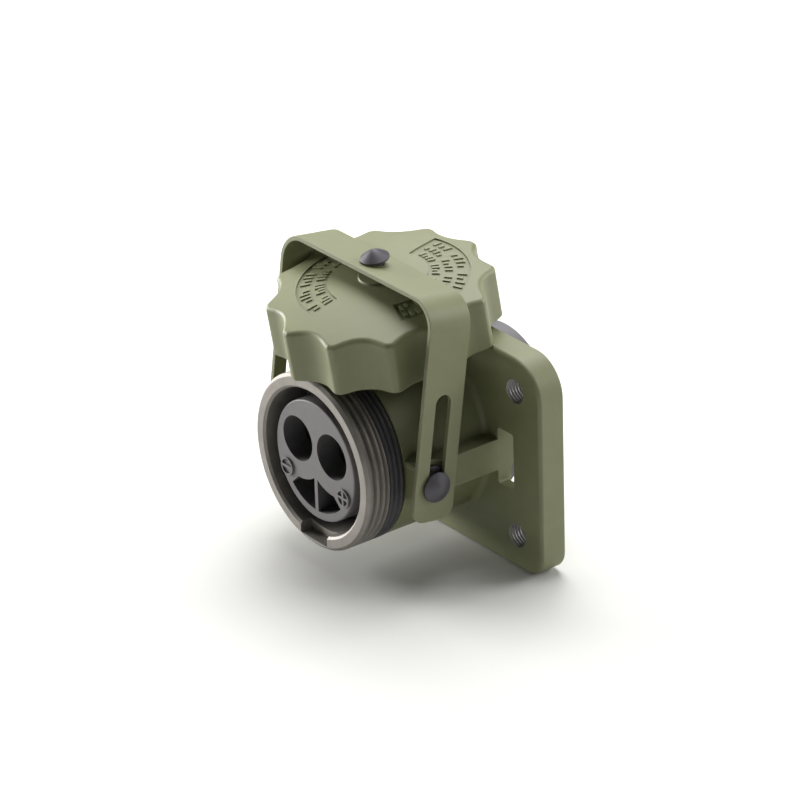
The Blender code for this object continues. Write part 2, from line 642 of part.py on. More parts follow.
def make_bail():
    """A strip swept from the strap's path, thickened inwards, with its slots and rivet hole."""
    half = BAIL_STRAP_WIDTH / 2
    bm = bmesh.new()
    verts = [bm.verts.new((x, -half, z)) for x, z in strap_path()]
    edges = [bm.edges.new(pair) for pair in zip(verts, verts[1:])]
    swept = bmesh.ops.extrude_edge_only(bm, edges=edges)["geom"]
    moved = [g for g in swept if isinstance(g, bmesh.types.BMVert)]
    bmesh.ops.translate(bm, vec=(0, BAIL_STRAP_WIDTH, 0), verts=moved)
    tails = [v for v in bm.verts if v.co.z < 0]
    bmesh.ops.bevel(bm, geom=tails, offset=BAIL_TAIL_CORNER, segments=ARC // 2, profile=0.5,
                    affect="VERTICES")
    bail = mesh_from("bail", bm, parts, paint)
    place(bail, parent=bail_pivot)
    skin = bail.modifiers.new("strap", "SOLIDIFY")
    skin.thickness = BAIL_THICK
    skin.offset = -1
    outline = arc(0, SLOT_TRAVEL, slot_radius, 0, 180) + arc(0, 0, slot_radius, 180, 360)
    slot = prism("arm_slots", outline, -bail_half_width - OVERRUN, bail_half_width + OVERRUN, cutters)
    slot.data.transform(Matrix(((0, 0, 1, 0), (1, 0, 0, 0), (0, 1, 0, 0), (0, 0, 0, 1))))
    cut(bail, place(slot, parent=bail_pivot))
    hole = rod("rivet_hole", RIVET_RADIUS + RIVET_HOLE_GAP, bail_reach - BAIL_THICK - OVERRUN,
               bail_reach + OVERRUN, cutters)
    cut(bail, place(hole, parent=bail_pivot))


def cap_outline():
    """Plan of the cap: ridges on the full radius with a hollow for the fingers between them."""
    half_ridge = math.degrees(RIDGE_WIDTH / 2 / cap_radius)
    pitch = 360 / CAP_LOBES
    half_gap = math.radians(pitch / 2 - half_ridge)
    half_chord = cap_radius * math.sin(half_gap)
    sagitta = SCALLOP_DEPTH - cap_radius * (1 - math.cos(half_gap))
    hollow = (half_chord ** 2 + sagitta ** 2) / (2 * sagitta)
    swing = math.degrees(math.asin(half_chord / hollow))
    centre = cap_radius - SCALLOP_DEPTH + hollow
    points = []
    for i in range(CAP_LOBES):
        ridge = CAP_LOBE_PHASE + pitch * i
        points += arc(0, 0, cap_radius, ridge - half_ridge, ridge + half_ridge, 3)
        middle = ridge + pitch / 2
        turn = math.radians(middle)
        points += arc(centre * math.cos(turn), centre * math.sin(turn), hollow,
                      middle + 180 + swing, middle + 180 - swing, ARC)[1:-1]
    return points


def make_cap():
    """Domed screw cap with a threaded bore, a gasket seat and a pocket for the rivet's tail."""
    blank = cap_radius + OVERRUN
    dome_foot = cap_radius - CAP_EDGE
    corner = shoulder_level - CAP_EDGE
    sphere = ((dome_foot ** 2 - PAD_RADIUS ** 2) / CAP_DOME_RISE + CAP_DOME_RISE) / 2
    dome_points = []
    for i in range(ARC):
        r = PAD_RADIUS + (dome_foot - PAD_RADIUS) * i / (ARC - 1)
        drop = math.sqrt(sphere ** 2 - PAD_RADIUS ** 2) - math.sqrt(sphere ** 2 - r ** 2)
        dome_points.append((r, pad_level - PAD_HEIGHT - drop))
    hole = RIVET_RADIUS + CLEAR
    profile = ([(hole, pad_level), (PAD_RADIUS - PAD_HEIGHT / 2, pad_level)] + dome_points
               + [(cap_radius, corner), (blank, corner - OVERRUN * 2),
                  (blank, rim_level + CAP_RIM_EDGE + OVERRUN), (cap_radius - CAP_RIM_EDGE, rim_level),
                  (cap_bore + CAP_LEAD_IN, rim_level), (cap_bore, rim_level + CAP_LEAD_IN),
                  (cap_bore, gasket_level), (pocket_radius, gasket_level),
                  (pocket_radius - CAP_EDGE, pocket_level), (hole, pocket_level)])
    cap = place(turned("cap", profile, parts, paint, steps=ROUND, ring=True), parent=cap_axis)
    plan = prism("cap_plan", cap_outline(), rim_level - OVERRUN, -OVERRUN / 2, cutters)
    cut(cap, place(plan, parent=cap_axis), "INTERSECT")
    top, low = gasket_level - CLEAR, gasket_level - CLEAR - GASKET_THICK
    ring = [(gasket_outer, top), (gasket_outer, low), (gasket_inner, low), (gasket_inner, top)]
    place(turned("cap_gasket", ring, parts, rubber, ring=True), parent=cap_axis)


def make_rivet():
    """Loose rivet through the crossbar and the cap, and the washer under its tail."""
    washer_top = pocket_level - CLEAR
    washer_low = washer_top - RIVET_WASHER_THICK
    tail_top = washer_low - CLEAR
    tail_low = tail_top - RIVET_TAIL_HEIGHT
    profile = dome(RIVET_HEAD_RADIUS, RIVET_HEAD_HEIGHT, head_level)
    profile += [(RIVET_RADIUS, head_level), (RIVET_RADIUS, tail_top), (RIVET_TAIL_RADIUS, tail_top),
                (RIVET_TAIL_RADIUS - RIVET_TAIL_HEIGHT / 2, tail_low), (0, tail_low)]
    place(turned("cap_rivet", profile, parts, blackened, steps=SMALL_ROUND), parent=rock_pivot)
    inner = RIVET_RADIUS + CLEAR
    ring = [(RIVET_WASHER_RADIUS, washer_top), (RIVET_WASHER_RADIUS, washer_low),
            (inner, washer_low), (inner, washer_top)]
    place(turned("rivet_washer", ring, parts, plated, steps=SMALL_ROUND, ring=True), parent=rock_pivot)


def bake():
    """Turns each part's modifiers into its mesh and shades it smooth up to its real edges."""
    graph = bpy.context.evaluated_depsgraph_get()
    solids = [obj for obj in parts.objects if obj.type == "MESH"]
    baked = [bpy.data.meshes.new_from_object(obj.evaluated_get(graph)) for obj in solids]
    for obj, mesh in zip(solids, baked):
        obj.modifiers.clear()
        obj.data = mesh
        mesh.shade_smooth()
        mesh.set_sharp_from_angle(angle=math.radians(SMOOTH_ANGLE))


bail_pivot = empty("bail_pivot", (0, -pivot_depth, 0), (-BAIL_LEAN, 0, 0))
rock_pivot = empty("rock_pivot", (0, 0, rock_reach), (BAIL_LEAN + CAP_TILT, 0, 0), bail_pivot)
cap_axis = empty("cap_axis", (0, 0, 0), (0, 0, 0), rock_pivot)

make_housing()
make_collar()
make_seal()
make_insert()
for pole, pole_side in POLES:
    make_contact(pole, pole_side)
    make_terminal(pole, pole_side)
make_shroud()
for stud, stud_side in SIDES:
    make_stud(stud, stud_side)
make_bail()
make_cap()
make_rivet()
bake()
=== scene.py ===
# Looks for the two-pole power socket: painted casting, threaded collar, moulded insert, and a screw cap
# on its bail. Each piece is built in millimetres in a local frame, then put in metres where the frame says.
import json
import math

import bmesh
import bpy
from mathutils import Matrix, Vector


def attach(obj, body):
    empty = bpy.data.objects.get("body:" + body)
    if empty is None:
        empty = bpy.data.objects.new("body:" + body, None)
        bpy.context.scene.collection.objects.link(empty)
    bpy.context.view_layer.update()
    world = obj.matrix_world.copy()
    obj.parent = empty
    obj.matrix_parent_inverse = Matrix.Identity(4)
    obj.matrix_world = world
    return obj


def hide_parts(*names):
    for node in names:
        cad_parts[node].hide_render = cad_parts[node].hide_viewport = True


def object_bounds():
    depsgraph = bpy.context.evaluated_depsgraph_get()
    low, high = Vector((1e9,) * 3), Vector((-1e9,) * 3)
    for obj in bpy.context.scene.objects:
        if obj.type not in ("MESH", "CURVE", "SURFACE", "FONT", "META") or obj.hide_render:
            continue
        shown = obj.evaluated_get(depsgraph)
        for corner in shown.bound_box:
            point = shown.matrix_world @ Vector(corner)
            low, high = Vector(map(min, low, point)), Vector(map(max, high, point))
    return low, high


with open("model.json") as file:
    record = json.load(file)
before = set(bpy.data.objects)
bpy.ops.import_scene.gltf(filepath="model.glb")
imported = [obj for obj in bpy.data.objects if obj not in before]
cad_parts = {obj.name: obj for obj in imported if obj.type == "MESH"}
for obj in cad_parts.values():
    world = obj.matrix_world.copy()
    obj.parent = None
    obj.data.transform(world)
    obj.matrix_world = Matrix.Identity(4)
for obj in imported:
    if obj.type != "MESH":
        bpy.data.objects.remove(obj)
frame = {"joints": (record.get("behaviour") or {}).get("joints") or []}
cadLow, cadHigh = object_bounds()
joints = {joint["name"]: joint for joint in frame["joints"]}
mm = 0.001
overrun = 1.0  # how far a cutting tool runs past what it cuts, in mm
sunk = 3.0  # how far an added block starts inside the casting
clearance = 0.3  # between pieces that lie against each other
squareCorner = 0.1  # corner radius of a plate that looks square
touch = 0.01  # keeps two surfaces from falling together
contactSides = (("positive", 1), ("negative", -1))
armSides = (("right", 1), ("left", -1))


def frameAlong(origin, up):
    # local X stays the world's X, and local Z runs along up
    z = Vector(up).normalized()
    x = Vector((1, 0, 0))
    turn = Matrix((x, z.cross(x), z)).transposed().to_4x4()
    return Matrix.Translation(origin) @ turn @ Matrix.Scale(mm, 4)


capSpin = joints["cap_spin"]
upArms = -Vector(joints["bail_slide"]["axis"])
socketFrame = frameAlong((0, 0, 0), (0, -1, 0))  # local Z is the depth in front of the flange's back face
bailFrame = frameAlong(joints["bail_swing"]["pos_m"], upArms)
capFrame = frameAlong(capSpin["pos_m"], capSpin["axis"])  # local Z is the cap's own axis


# Mesh helpers


def makeObject(name, bm):
    bmesh.ops.recalc_face_normals(bm, faces=bm.faces)
    mesh = bpy.data.meshes.new(name)
    bm.to_mesh(mesh)
    bm.free()
    body = bpy.data.objects.new(name, mesh)
    bpy.context.scene.collection.objects.link(body)
    return body


def ringGrid(name, rings, closed=False, weld=0.0005):
    # joins rings of equal point counts with quads, and caps the two ends unless the rings close up
    bm = bmesh.new()
    rows = [[bm.verts.new(point) for point in ring] for ring in rings]
    count = len(rings[0])
    for a, b in zip(rows, rows[1:] + ([rows[0]] if closed else [])):
        for i in range(count):
            j = (i + 1) % count
            bm.faces.new((a[i], a[j], b[j], b[i]))
    if not closed:
        bm.faces.new(rows[0][::-1])
        bm.faces.new(rows[-1])
    bmesh.ops.remove_doubles(bm, verts=bm.verts, dist=weld)
    bmesh.ops.dissolve_degenerate(bm, edges=bm.edges, dist=weld)
    return makeObject(name, bm)


def softCorners(points, radius, count=3, closed=False):
    # rounds the corners of an outline; a point may carry its own radius as a third value
    mostShare = 0.48  # of a side's length that the rounding of one corner takes
    leastTangent = 0.05  # keeps the rounding of a very sharp corner short
    made = []
    total = len(points)
    for i, point in enumerate(points):
        here = Vector(point[:2])
        size = point[2] if len(point) > 2 else radius
        if size <= 0 or (not closed and i in (0, total - 1)):
            made.append(tuple(here))
            continue
        before = Vector(points[i - 1][:2]) - here
        after = Vector(points[(i + 1) % total][:2]) - here
        half = before.angle(after) / 2
        reach = size / max(math.tan(half), leastTangent)
        reach = min(reach, before.length * mostShare, after.length * mostShare)
        start, end = here + before.normalized() * reach, here + after.normalized() * reach
        for k in range(count + 1):
            t = k / count
            made.append(tuple(start * (1 - t) ** 2 + here * 2 * t * (1 - t) + end * t ** 2))
    return made


def plainRings(outline, steps):
    turns = [math.tau * i / steps for i in range(steps)]
    return [[(r * math.cos(t), r * math.sin(t), level) for t in turns] for r, level in outline]


def spun(name, outline, steps, radius=0.3, count=3, closed=False):
    # turns a (radius, level) outline about local Z
    return ringGrid(name, plainRings(softCorners(outline, radius, count, closed), steps), closed)


def rod(name, radius, low, high, steps):
    return spun(name, [(0, low, 0), (radius, low, 0), (radius, high, 0), (0, high, 0)], steps)


def flatRing(name, outer, inner, start, end, steps, edge=0.25, count=3):
    # a ring with a rectangular section between two levels
    outline = [(outer, start), (outer, end), (inner, end), (inner, start)]
    return spun(name, outline, steps, edge, count, True)


threadShape = {"crestEnd": 0.30, "rootStart": 0.52, "rootEnd": 0.78, "fade": 0.25}  # shares of the pitch


def ridge(phase):
    # 1 on the thread's crest and 0 in its root, with slanting flanks
    s = threadShape
    p = phase % 1.0
    if p < s["crestEnd"]:
        return 1.0
    if p < s["rootStart"]:
        return 1 - (p - s["crestEnd"]) / (s["rootStart"] - s["crestEnd"])
    if p < s["rootEnd"]:
        return 0.0
    return (p - s["rootEnd"]) / (1 - s["rootEnd"])


def threadRings(radius, depth, start, end, pitch, steps, rowsPerPitch, inward=1):
    # rings along a left-handed thread that fades in and out over a quarter of a turn's advance
    fadeLength = pitch * threadShape["fade"]
    rows = max(2, round(abs(end - start) / pitch * rowsPerPitch))
    rings = []
    for k in range(rows + 1):
        level = start + (end - start) * k / rows
        fade = min(1.0, abs(level - start) / fadeLength, abs(level - end) / fadeLength)
        ring = []
        for i in range(steps):
            cut = depth * (1 - ridge(level / pitch + i / steps)) * fade
            r = radius - inward * cut
            t = math.tau * i / steps
            ring.append((r * math.cos(t), r * math.sin(t), level))
        rings.append(ring)
    return rings


def roundedOutline(width, height, corner, count=12):
    # points of a rounded rectangle, anticlockwise from the right side
    # corner is one radius, or a pair for the upper and the lower corners
    upper, lower = corner if isinstance(corner, tuple) else (corner, corner)
    points = []
    for k, (sx, sy) in enumerate(((1, 1), (-1, 1), (-1, -1), (1, -1))):
        radius = upper if sy > 0 else lower
        cx, cy = sx * (width / 2 - radius), sy * (height / 2 - radius)
        for i in range(count + 1):
            t = math.pi / 2 * (k + i / count)
            points.append((cx + radius * math.cos(t), cy + radius * math.sin(t)))
    return points


def softPlate(name, width, height, corner, levels, count=12):
    # a rounded plate through (inset, level) pairs
    pair = corner if isinstance(corner, tuple) else (corner, corner)
    rings = []
    for inset, level in levels:
        soft = tuple(max(radius - inset, squareCorner / 2) for radius in pair)
        ring = roundedOutline(width - 2 * inset, height - 2 * inset, soft, count)
        rings.append([(x, y, level) for x, y in ring])
    return ringGrid(name, rings)


def edgeLevels(low, high, lowEdge, highEdge, count=6):
    # (inset, level) pairs for a plate with round lower and upper rims
    quarter = [math.pi / 2 * i / count for i in range(count + 1)]
    lower = [(lowEdge * (1 - math.sin(t)), low + lowEdge * (1 - math.cos(t))) for t in quarter]
    upper = [(highEdge * (1 - math.cos(t)), high - highEdge * (1 - math.sin(t))) for t in quarter]
    return lower + upper


def plug(name, outline, low, high):
    bm = bmesh.new()
    bottom = [bm.verts.new((x, y, low)) for x, y in outline]
    top = [bm.verts.new((x, y, high)) for x, y in outline]
    bm.faces.new(bottom)
    bm.faces.new(top)
    for i in range(len(outline)):
        j = (i + 1) % len(outline)
        bm.faces.new((bottom[i], bottom[j], top[j], top[i]))
    return makeObject(name, bm)


def bakeModifiers(body):
    graph = bpy.context.evaluated_depsgraph_get()
    graph.update()
    mesh = bpy.data.meshes.new_from_object(body.evaluated_get(graph))
    body.modifiers.clear()
    body.data = mesh
    return body


def carve(body, tool, operation="DIFFERENCE"):
    change = body.modifiers.new("carve", "BOOLEAN")
    change.solver = "EXACT"
    change.operation = operation
    change.object = tool
    change.material_mode = "TRANSFER"
    bakeModifiers(body)
    bpy.data.objects.remove(tool)
    return body


def softenEdges(body, width, segments=3, angle=35):
    bevel = body.modifiers.new("soften", "BEVEL")
    bevel.width = width
    bevel.segments = segments
    bevel.limit_method = "ANGLE"
    bevel.angle_limit = math.radians(angle)
    bevel.miter_outer = "MITER_ARC"
    bevel.use_clamp_overlap = True
    return bakeModifiers(body)


def sharpen(body, angle, flatBack=False):
    # flat faces stay flat: only edges that turn less than the angle are shaded smooth
    straightBack = -0.9999  # the normal's z of a face that looks straight back
    body.data.shade_smooth()
    body.data.set_sharp_from_angle(angle=math.radians(angle))
    if flatBack:
        bm = bmesh.new()
        bm.from_mesh(body.data)
        for face in bm.faces:
            if face.normal.z < straightBack:
                for edge in face.edges:
                    edge.smooth = False
        bm.to_mesh(body.data)
        bm.free()
    even = body.modifiers.new("even", "WEIGHTED_NORMAL")
    even.keep_sharp = True
    even.weight = 100
    return bakeModifiers(body)


def shift(body, x=0.0, y=0.0, z=0.0, turn=0.0, axis="Z"):
    body.data.transform(Matrix.Translation((x, y, z)) @ Matrix.Rotation(math.radians(turn), 4, axis))
    return body


def toSide(body, side, depth):
    # local Z outwards along the socket's X at a depth
    body.data.transform(Matrix.Translation((0, 0, depth)) @ Matrix.Rotation(math.radians(90 * side), 4, "Y"))
    return body


def finishPiece(body, place, rides, finish, replaced=(), sharp=35):
    if not body.data.has_custom_normals:
        sharpen(body, sharp)
    body.data.transform(place)
    if finish and not body.data.materials:
        body.data.materials.append(finish)
    elif finish:
        body.data.materials[0] = finish
    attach(body, rides)
    if replaced:
        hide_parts(*replaced)
    return body


# Materials


def linear(hexColour):
    channels = [int(hexColour[i:i + 2], 16) / 255 for i in (1, 3, 5)]
    return (*[c / 12.92 if c <= 0.04045 else ((c + 0.055) / 1.055) ** 2.4 for c in channels], 1)


def addNode(tree, kind, settings=None, inputs=None):
    node = tree.nodes.new(kind)
    for key, value in (settings or {}).items():
        setattr(node, key, value)
    for key, value in (inputs or {}).items():
        if isinstance(value, bpy.types.NodeSocket):
            tree.links.new(value, node.inputs[key])
        else:
            node.inputs[key].default_value = value
    return node


def startMaterial(name):
    made = bpy.data.materials.new(name)
    made.use_nodes = True
    tree = made.node_tree
    return made, tree, tree.nodes["Principled BSDF"], addNode(tree, "ShaderNodeTexCoord").outputs["Object"]


def perMetre(sizeMm):
    return 1000 / sizeMm


def addFinish(tree, shader, colour, cloud, fine, spec):
    # links the colour, lets the roughness follow the cloudiness and turns the fine noise into a relief
    low, high = spec["roughness"]
    rough = addNode(tree, "ShaderNodeMapRange", inputs={
        "Value": cloud.outputs["Fac"], "To Min": low, "To Max": high})
    bump = addNode(tree, "ShaderNodeBump", inputs={
        "Height": fine.outputs["Fac"], "Distance": spec["depth"] * mm, "Strength": 1.0})
    tree.links.new(colour.outputs["Result"], shader.inputs["Base Color"])
    tree.links.new(rough.outputs["Result"], shader.inputs["Roughness"])
    tree.links.new(bump.outputs["Normal"], shader.inputs["Normal"])


# in each finish grain is the width of the fine texture and depth is its height, both in mm
# edge, edgeReach, edgeStart, edgeFull and edgeMost give the painted highlight along edges, which also stands
# for paint worn thin there
paint = {"light": "#7D805D", "dark": "#717454", "roughness": (0.44, 0.54), "mottle": 9.0, "grain": 0.55,
         "depth": 0.006, "edge": "#9B9E81", "edgeReach": 0.35, "edgeStart": 0.995, "edgeFull": 0.90,
         "edgeMost": 0.6}


def makePaint(name):
    # olive polyurethane enamel sprayed over a casting: semi-matt, faint orange peel, paler on edges as a
    # painted highlight and as paint worn thin there
    made, tree, shader, place = startMaterial(name)
    mottle = addNode(tree, "ShaderNodeTexNoise", inputs={
        "Vector": place, "Scale": perMetre(paint["mottle"]), "Detail": 4.0, "Roughness": 0.55})
    base = addNode(tree, "ShaderNodeMix", {"data_type": "RGBA"}, {
        "Factor": mottle.outputs["Fac"], "A": linear(paint["dark"]), "B": linear(paint["light"])})
    # painted highlight, partly worn paint: near any edge the colour is mixed towards the paler edge colour
    rounded = addNode(tree, "ShaderNodeBevel", {"samples": 4}, {"Radius": paint["edgeReach"] * mm})
    facing = addNode(tree, "ShaderNodeNewGeometry")
    agree = addNode(tree, "ShaderNodeVectorMath", {"operation": "DOT_PRODUCT"}, {
        0: rounded.outputs["Normal"], 1: facing.outputs["Normal"]})
    edge = addNode(tree, "ShaderNodeMapRange", inputs={
        "Value": agree.outputs["Value"], "From Min": paint["edgeStart"], "From Max": paint["edgeFull"],
        "To Min": 0.0, "To Max": paint["edgeMost"]})
    colour = addNode(tree, "ShaderNodeMix", {"data_type": "RGBA"}, {
        "Factor": edge.outputs["Result"], "A": base.outputs["Result"], "B": linear(paint["edge"])})
    peel = addNode(tree, "ShaderNodeTexNoise", inputs={
        "Vector": place, "Scale": perMetre(paint["grain"]), "Detail": 2.0, "Roughness": 0.5})
    addFinish(tree, shader, colour, mottle, peel, paint)
    return made


metalCloud = 6.0  # width of the cloudiness in mm
metals = {
    "collar": {"light": "#A29D96", "dark": "#7F7B76", "metallic": 0.8, "roughness": (0.56, 0.68),
               "grain": 0.35, "depth": 0.005},
    "hole": {"light": "#A9A8A6", "dark": "#8E8D8B", "metallic": 0.6, "roughness": (0.50, 0.62),
             "grain": 0.5, "depth": 0.006},
    "zinc": {"light": "#B9B7B0", "dark": "#97958F", "metallic": 1.0, "roughness": (0.32, 0.45),
             "grain": 0.6, "depth": 0.003},
    "brass": {"light": "#C7A867", "dark": "#9C7F49", "metallic": 1.0, "roughness": (0.30, 0.42),
              "grain": 0.4, "depth": 0.003},
    # painted shade: the brass of the contacts' deep parts, darkened to brown
    "holeShadeBrass": {"light": "#4A4032", "dark": "#2E2820", "metallic": 1.0, "roughness": (0.40, 0.55),
                 "grain": 0.4, "depth": 0.003},
    "blackOxide": {"light": "#5F5D62", "dark": "#474549", "metallic": 0.6, "roughness": (0.48, 0.60),
                   "grain": 0.8, "depth": 0.003},
}


def makeMetal(name, spec):
    # turned metal: faint tool marks and a little cloudiness
    made, tree, shader, place = startMaterial(name)
    cloud = addNode(tree, "ShaderNodeTexNoise", inputs={
        "Vector": place, "Scale": perMetre(metalCloud), "Detail": 5.0, "Roughness": 0.6})
    colour = addNode(tree, "ShaderNodeMix", {"data_type": "RGBA"}, {
        "Factor": cloud.outputs["Fac"], "A": linear(spec["dark"]), "B": linear(spec["light"])})
    marks = addNode(tree, "ShaderNodeTexNoise", inputs={
        "Vector": place, "Scale": perMetre(spec["grain"]), "Detail": 3.0, "Roughness": 0.6})
    shader.inputs["Metallic"].default_value = spec["metallic"]
    addFinish(tree, shader, colour, cloud, marks, spec)
    return made


plasticCloud = 5.0
plastics = {
    "rubber": {"light": "#4B4A4D", "dark": "#3A393B", "roughness": (0.50, 0.66),
               "grain": 0.5, "depth": 0.006},
    # painted shade: the darker nylon for the walls of the insert's holes and windows
    "hole": {"light": "#5A5859", "dark": "#4C4A4B", "roughness": (0.60, 0.75),
             "grain": 0.35, "depth": 0.005},
    "insert": {"light": "#6F6B6C", "dark": "#605C5D", "roughness": (0.42, 0.55),
               "grain": 0.35, "depth": 0.005},
    "rear": {"light": "#616063", "dark": "#545256", "roughness": (0.45, 0.58),
             "grain": 0.4, "depth": 0.006},
}


def makePlastic(name, spec):
    # moulded surface: the fine spark-eroded texture of its tool
    made, tree, shader, place = startMaterial(name)
    cloud = addNode(tree, "ShaderNodeTexNoise", inputs={
        "Vector": place, "Scale": perMetre(plasticCloud), "Detail": 4.0, "Roughness": 0.55})
    colour = addNode(tree, "ShaderNodeMix", {"data_type": "RGBA"}, {
        "Factor": cloud.outputs["Fac"], "A": linear(spec["dark"]), "B": linear(spec["light"])})
    grain = addNode(tree, "ShaderNodeTexNoise", inputs={
        "Vector": place, "Scale": perMetre(spec["grain"]), "Detail": 2.0, "Roughness": 0.5})
    addFinish(tree, shader, colour, cloud, grain, spec)
    return made


olivePaint = makePaint("oliveEnamel")
collarMetal = makeMetal("turnedAlloy", metals["collar"])  # bare aluminium alloy, pale and dull from turning
holeMetal = makeMetal("drilledAlloy", metals["hole"])  # the casting's own alloy, bare where it is threaded
zincSteel = makeMetal("zincPlatedSteel", metals["zinc"])  # plated and brushed: a soft grey shine
contactBrass = makeMetal("turnedBrass", metals["brass"])  # clean yellow on the studs
holeShadeBrass = makeMetal("brassPaintedShade", metals["holeShadeBrass"])  # painted shade: brass darkened to brown so that the holes look deep
blackOxide = makeMetal("blackOxideSteel", metals["blackOxide"])  # blackened heads with a satin shine
sealRubber = makePlastic("nitrileRubber", plastics["rubber"])  # moulded rubber, matt and nearly black
insertNylon = makePlastic("glassFilledNylon", plastics["insert"])  # mid grey, a little shine on a fine grain
holeShadeNylon = makePlastic("nylonPaintedShade", plastics["hole"])  # painted shade: duller and darker on the walls of the insert's holes and windows
rearNylon = makePlastic("rearNylon", plastics["rear"])  # moulded in a slightly darker grey
print("materials made")


# Housing

housing = {
    "width": 127.5, "height": 85.2, "thick": 11.4, "corner": (14.5, 8.5), "frontEdge": 1.5, "backEdge": 0.8,
    "barrelDepth": 49.4, "barrelRadius": 33.8, "barrelEdge": 0.6, "foot": 2.5, "footSteps": 8, "bore": 31.3,
    "ledgeDepth": 34.0, "rearBore": 25.8, "ribFace": 39.6, "ribHeight": 12.4, "bossDepth": 44.2,
    "bossRadius": 9.0, "bossProud": 1.0, "bossStart": 20, "trimWidth": 90, "trimDepth": 12, "windowOut": 48.5,
    "windowHalf": 11.3, "windowCorner": 1.2, "reliefSlant": [(-4.0, 7.5), (-11.5, 4.2), (-21.5, 4.2)],
    "reliefSide": (7.0, 2.5), "castEdge": 0.7, "steps": 144, "bossSteps": 64}
bolt = {"x": 49.9, "z": 29.3, "radius": 4.5, "chamfer": 0.25, "pitch": 1.25, "thread": 0.4, "steps": 48,
        "rowsPerPitch": 8}


def makeBarrel():
    # the round barrel with a fillet where it leaves the flange
    h = housing
    start, foot = h["thick"] - sunk, h["barrelRadius"] + h["foot"]
    turns = [math.pi / 2 * i / h["footSteps"] for i in range(h["footSteps"] + 1)]
    fillet = [(foot - h["foot"] * math.sin(t), h["thick"] + h["foot"] * (1 - math.cos(t)), 0) for t in turns]
    front = [(h["barrelRadius"], h["barrelDepth"], h["barrelEdge"]), (0, h["barrelDepth"], 0)]
    return spun("barrel", [(0, start, 0), (foot, start, 0), *fillet, *front], h["steps"])


def addRibAndBoss(body, side):
    h = housing
    levels = [(0, h["thick"] - sunk), (0, h["bossDepth"])]
    rib = softPlate("rib", h["ribHeight"], h["ribFace"], squareCorner, levels, count=1)
    carve(body, shift(rib, side * h["ribFace"] / 2, turn=90), "UNION")
    boss = rod("boss", h["bossRadius"], h["bossStart"], h["ribFace"] + h["bossProud"], h["bossSteps"])
    carve(body, toSide(boss, side, h["bossDepth"]), "UNION")


def cutBore(body):
    h = housing
    front = h["barrelDepth"] + overrun
    bore = spun("bore", [
        (0, front, 0), (h["bore"], front, 0), (h["bore"], h["ledgeDepth"], 0),
        (h["rearBore"], h["ledgeDepth"], 0), (h["rearBore"], -overrun, 0), (0, -overrun, 0)], h["steps"])
    carve(body, bore)


def cutWindow(body, side):
    # the opening for a tail of the bail, and the thinner casting behind its lower end
    h = housing
    low, high = h["ribFace"], h["windowOut"]
    window = softPlate("window", high - low, 2 * h["windowHalf"], h["windowCorner"],
                       [(0, -overrun), (0, h["thick"] + overrun)], count=4)
    carve(body, shift(window, side * (low + high) / 2))
    slant = [(h["thick"] - web, z) for z, web in h["reliefSlant"]]
    slant += [(-overrun, slant[-1][1]), (-overrun, slant[0][1])]
    inwards, outwards = h["reliefSide"]
    relief = plug("relief", slant, low - inwards, high + outwards)
    relief.data.transform(Matrix(((0, 0, side, 0), (0, 1, 0, 0), (1, 0, 0, 0), (0, 0, 0, 1))))
    if side > 0:  # this way round the change of axes turns the block inside out
        relief.data.flip_normals()
    carve(body, relief)


def cutBoltHole(body, x, z):
    b, top = bolt, housing["thick"]
    wide = b["radius"] + b["chamfer"] + overrun
    mouth = plainRings([(touch, -overrun), (wide, -overrun), (b["radius"], b["chamfer"])], b["steps"])
    thread = threadRings(b["radius"] + b["thread"], b["thread"], b["chamfer"], top - b["chamfer"], b["pitch"],
                         b["steps"], b["rowsPerPitch"])
    far = plainRings([(b["radius"], top - b["chamfer"]), (wide, top + overrun), (touch, top + overrun)],
                     b["steps"])
    hole = ringGrid("boltHole", mouth + thread[1:-1] + far)
    hole.data.materials.append(holeMetal)
    carve(body, shift(hole, x, z))


def makeHousing():
    h = housing
    body = softPlate("housingCasting", h["width"], h["height"], h["corner"],
                     edgeLevels(0, h["thick"], h["backEdge"], h["frontEdge"]))
    carve(body, makeBarrel(), "UNION")
    for side in (1, -1):
        addRibAndBoss(body, side)
    trim = [(0, h["barrelDepth"]), (0, h["barrelDepth"] + h["trimDepth"])]
    carve(body, softPlate("barrelFront", h["trimWidth"], h["trimWidth"], 1, trim, count=1))
    cutBore(body)
    for side in (1, -1):
        cutWindow(body, side)
    body.data.materials.append(olivePaint)
    softenEdges(body, h["castEdge"])
    for sx in (1, -1):
        for sz in (1, -1):
            cutBoltHole(body, sx * bolt["x"], sz * bolt["z"])
    sharpen(body, angle=30, flatBack=True)
    finishPiece(body, socketFrame, "socket", olivePaint, ["housing"])


makeHousing()
print("housing made")


# Collar, seal and insert

collar = {"front": 66.8, "radius": 34.0, "bore": 28.55, "shank": 31.0, "edge": 1.2, "boreEdge": 0.9,
          "land": 1.9, "threadEnd": 10.1, "runOut": 0.6, "pitch": 2.8, "threadDepth": 1.4, "tail": 34.3,
          "turns": 240, "rowsPerPitch": 14, "keyWidth": 16.0, "keyCut": 3.0, "keyLength": 5.0,
          "keyCorner": 0.6}


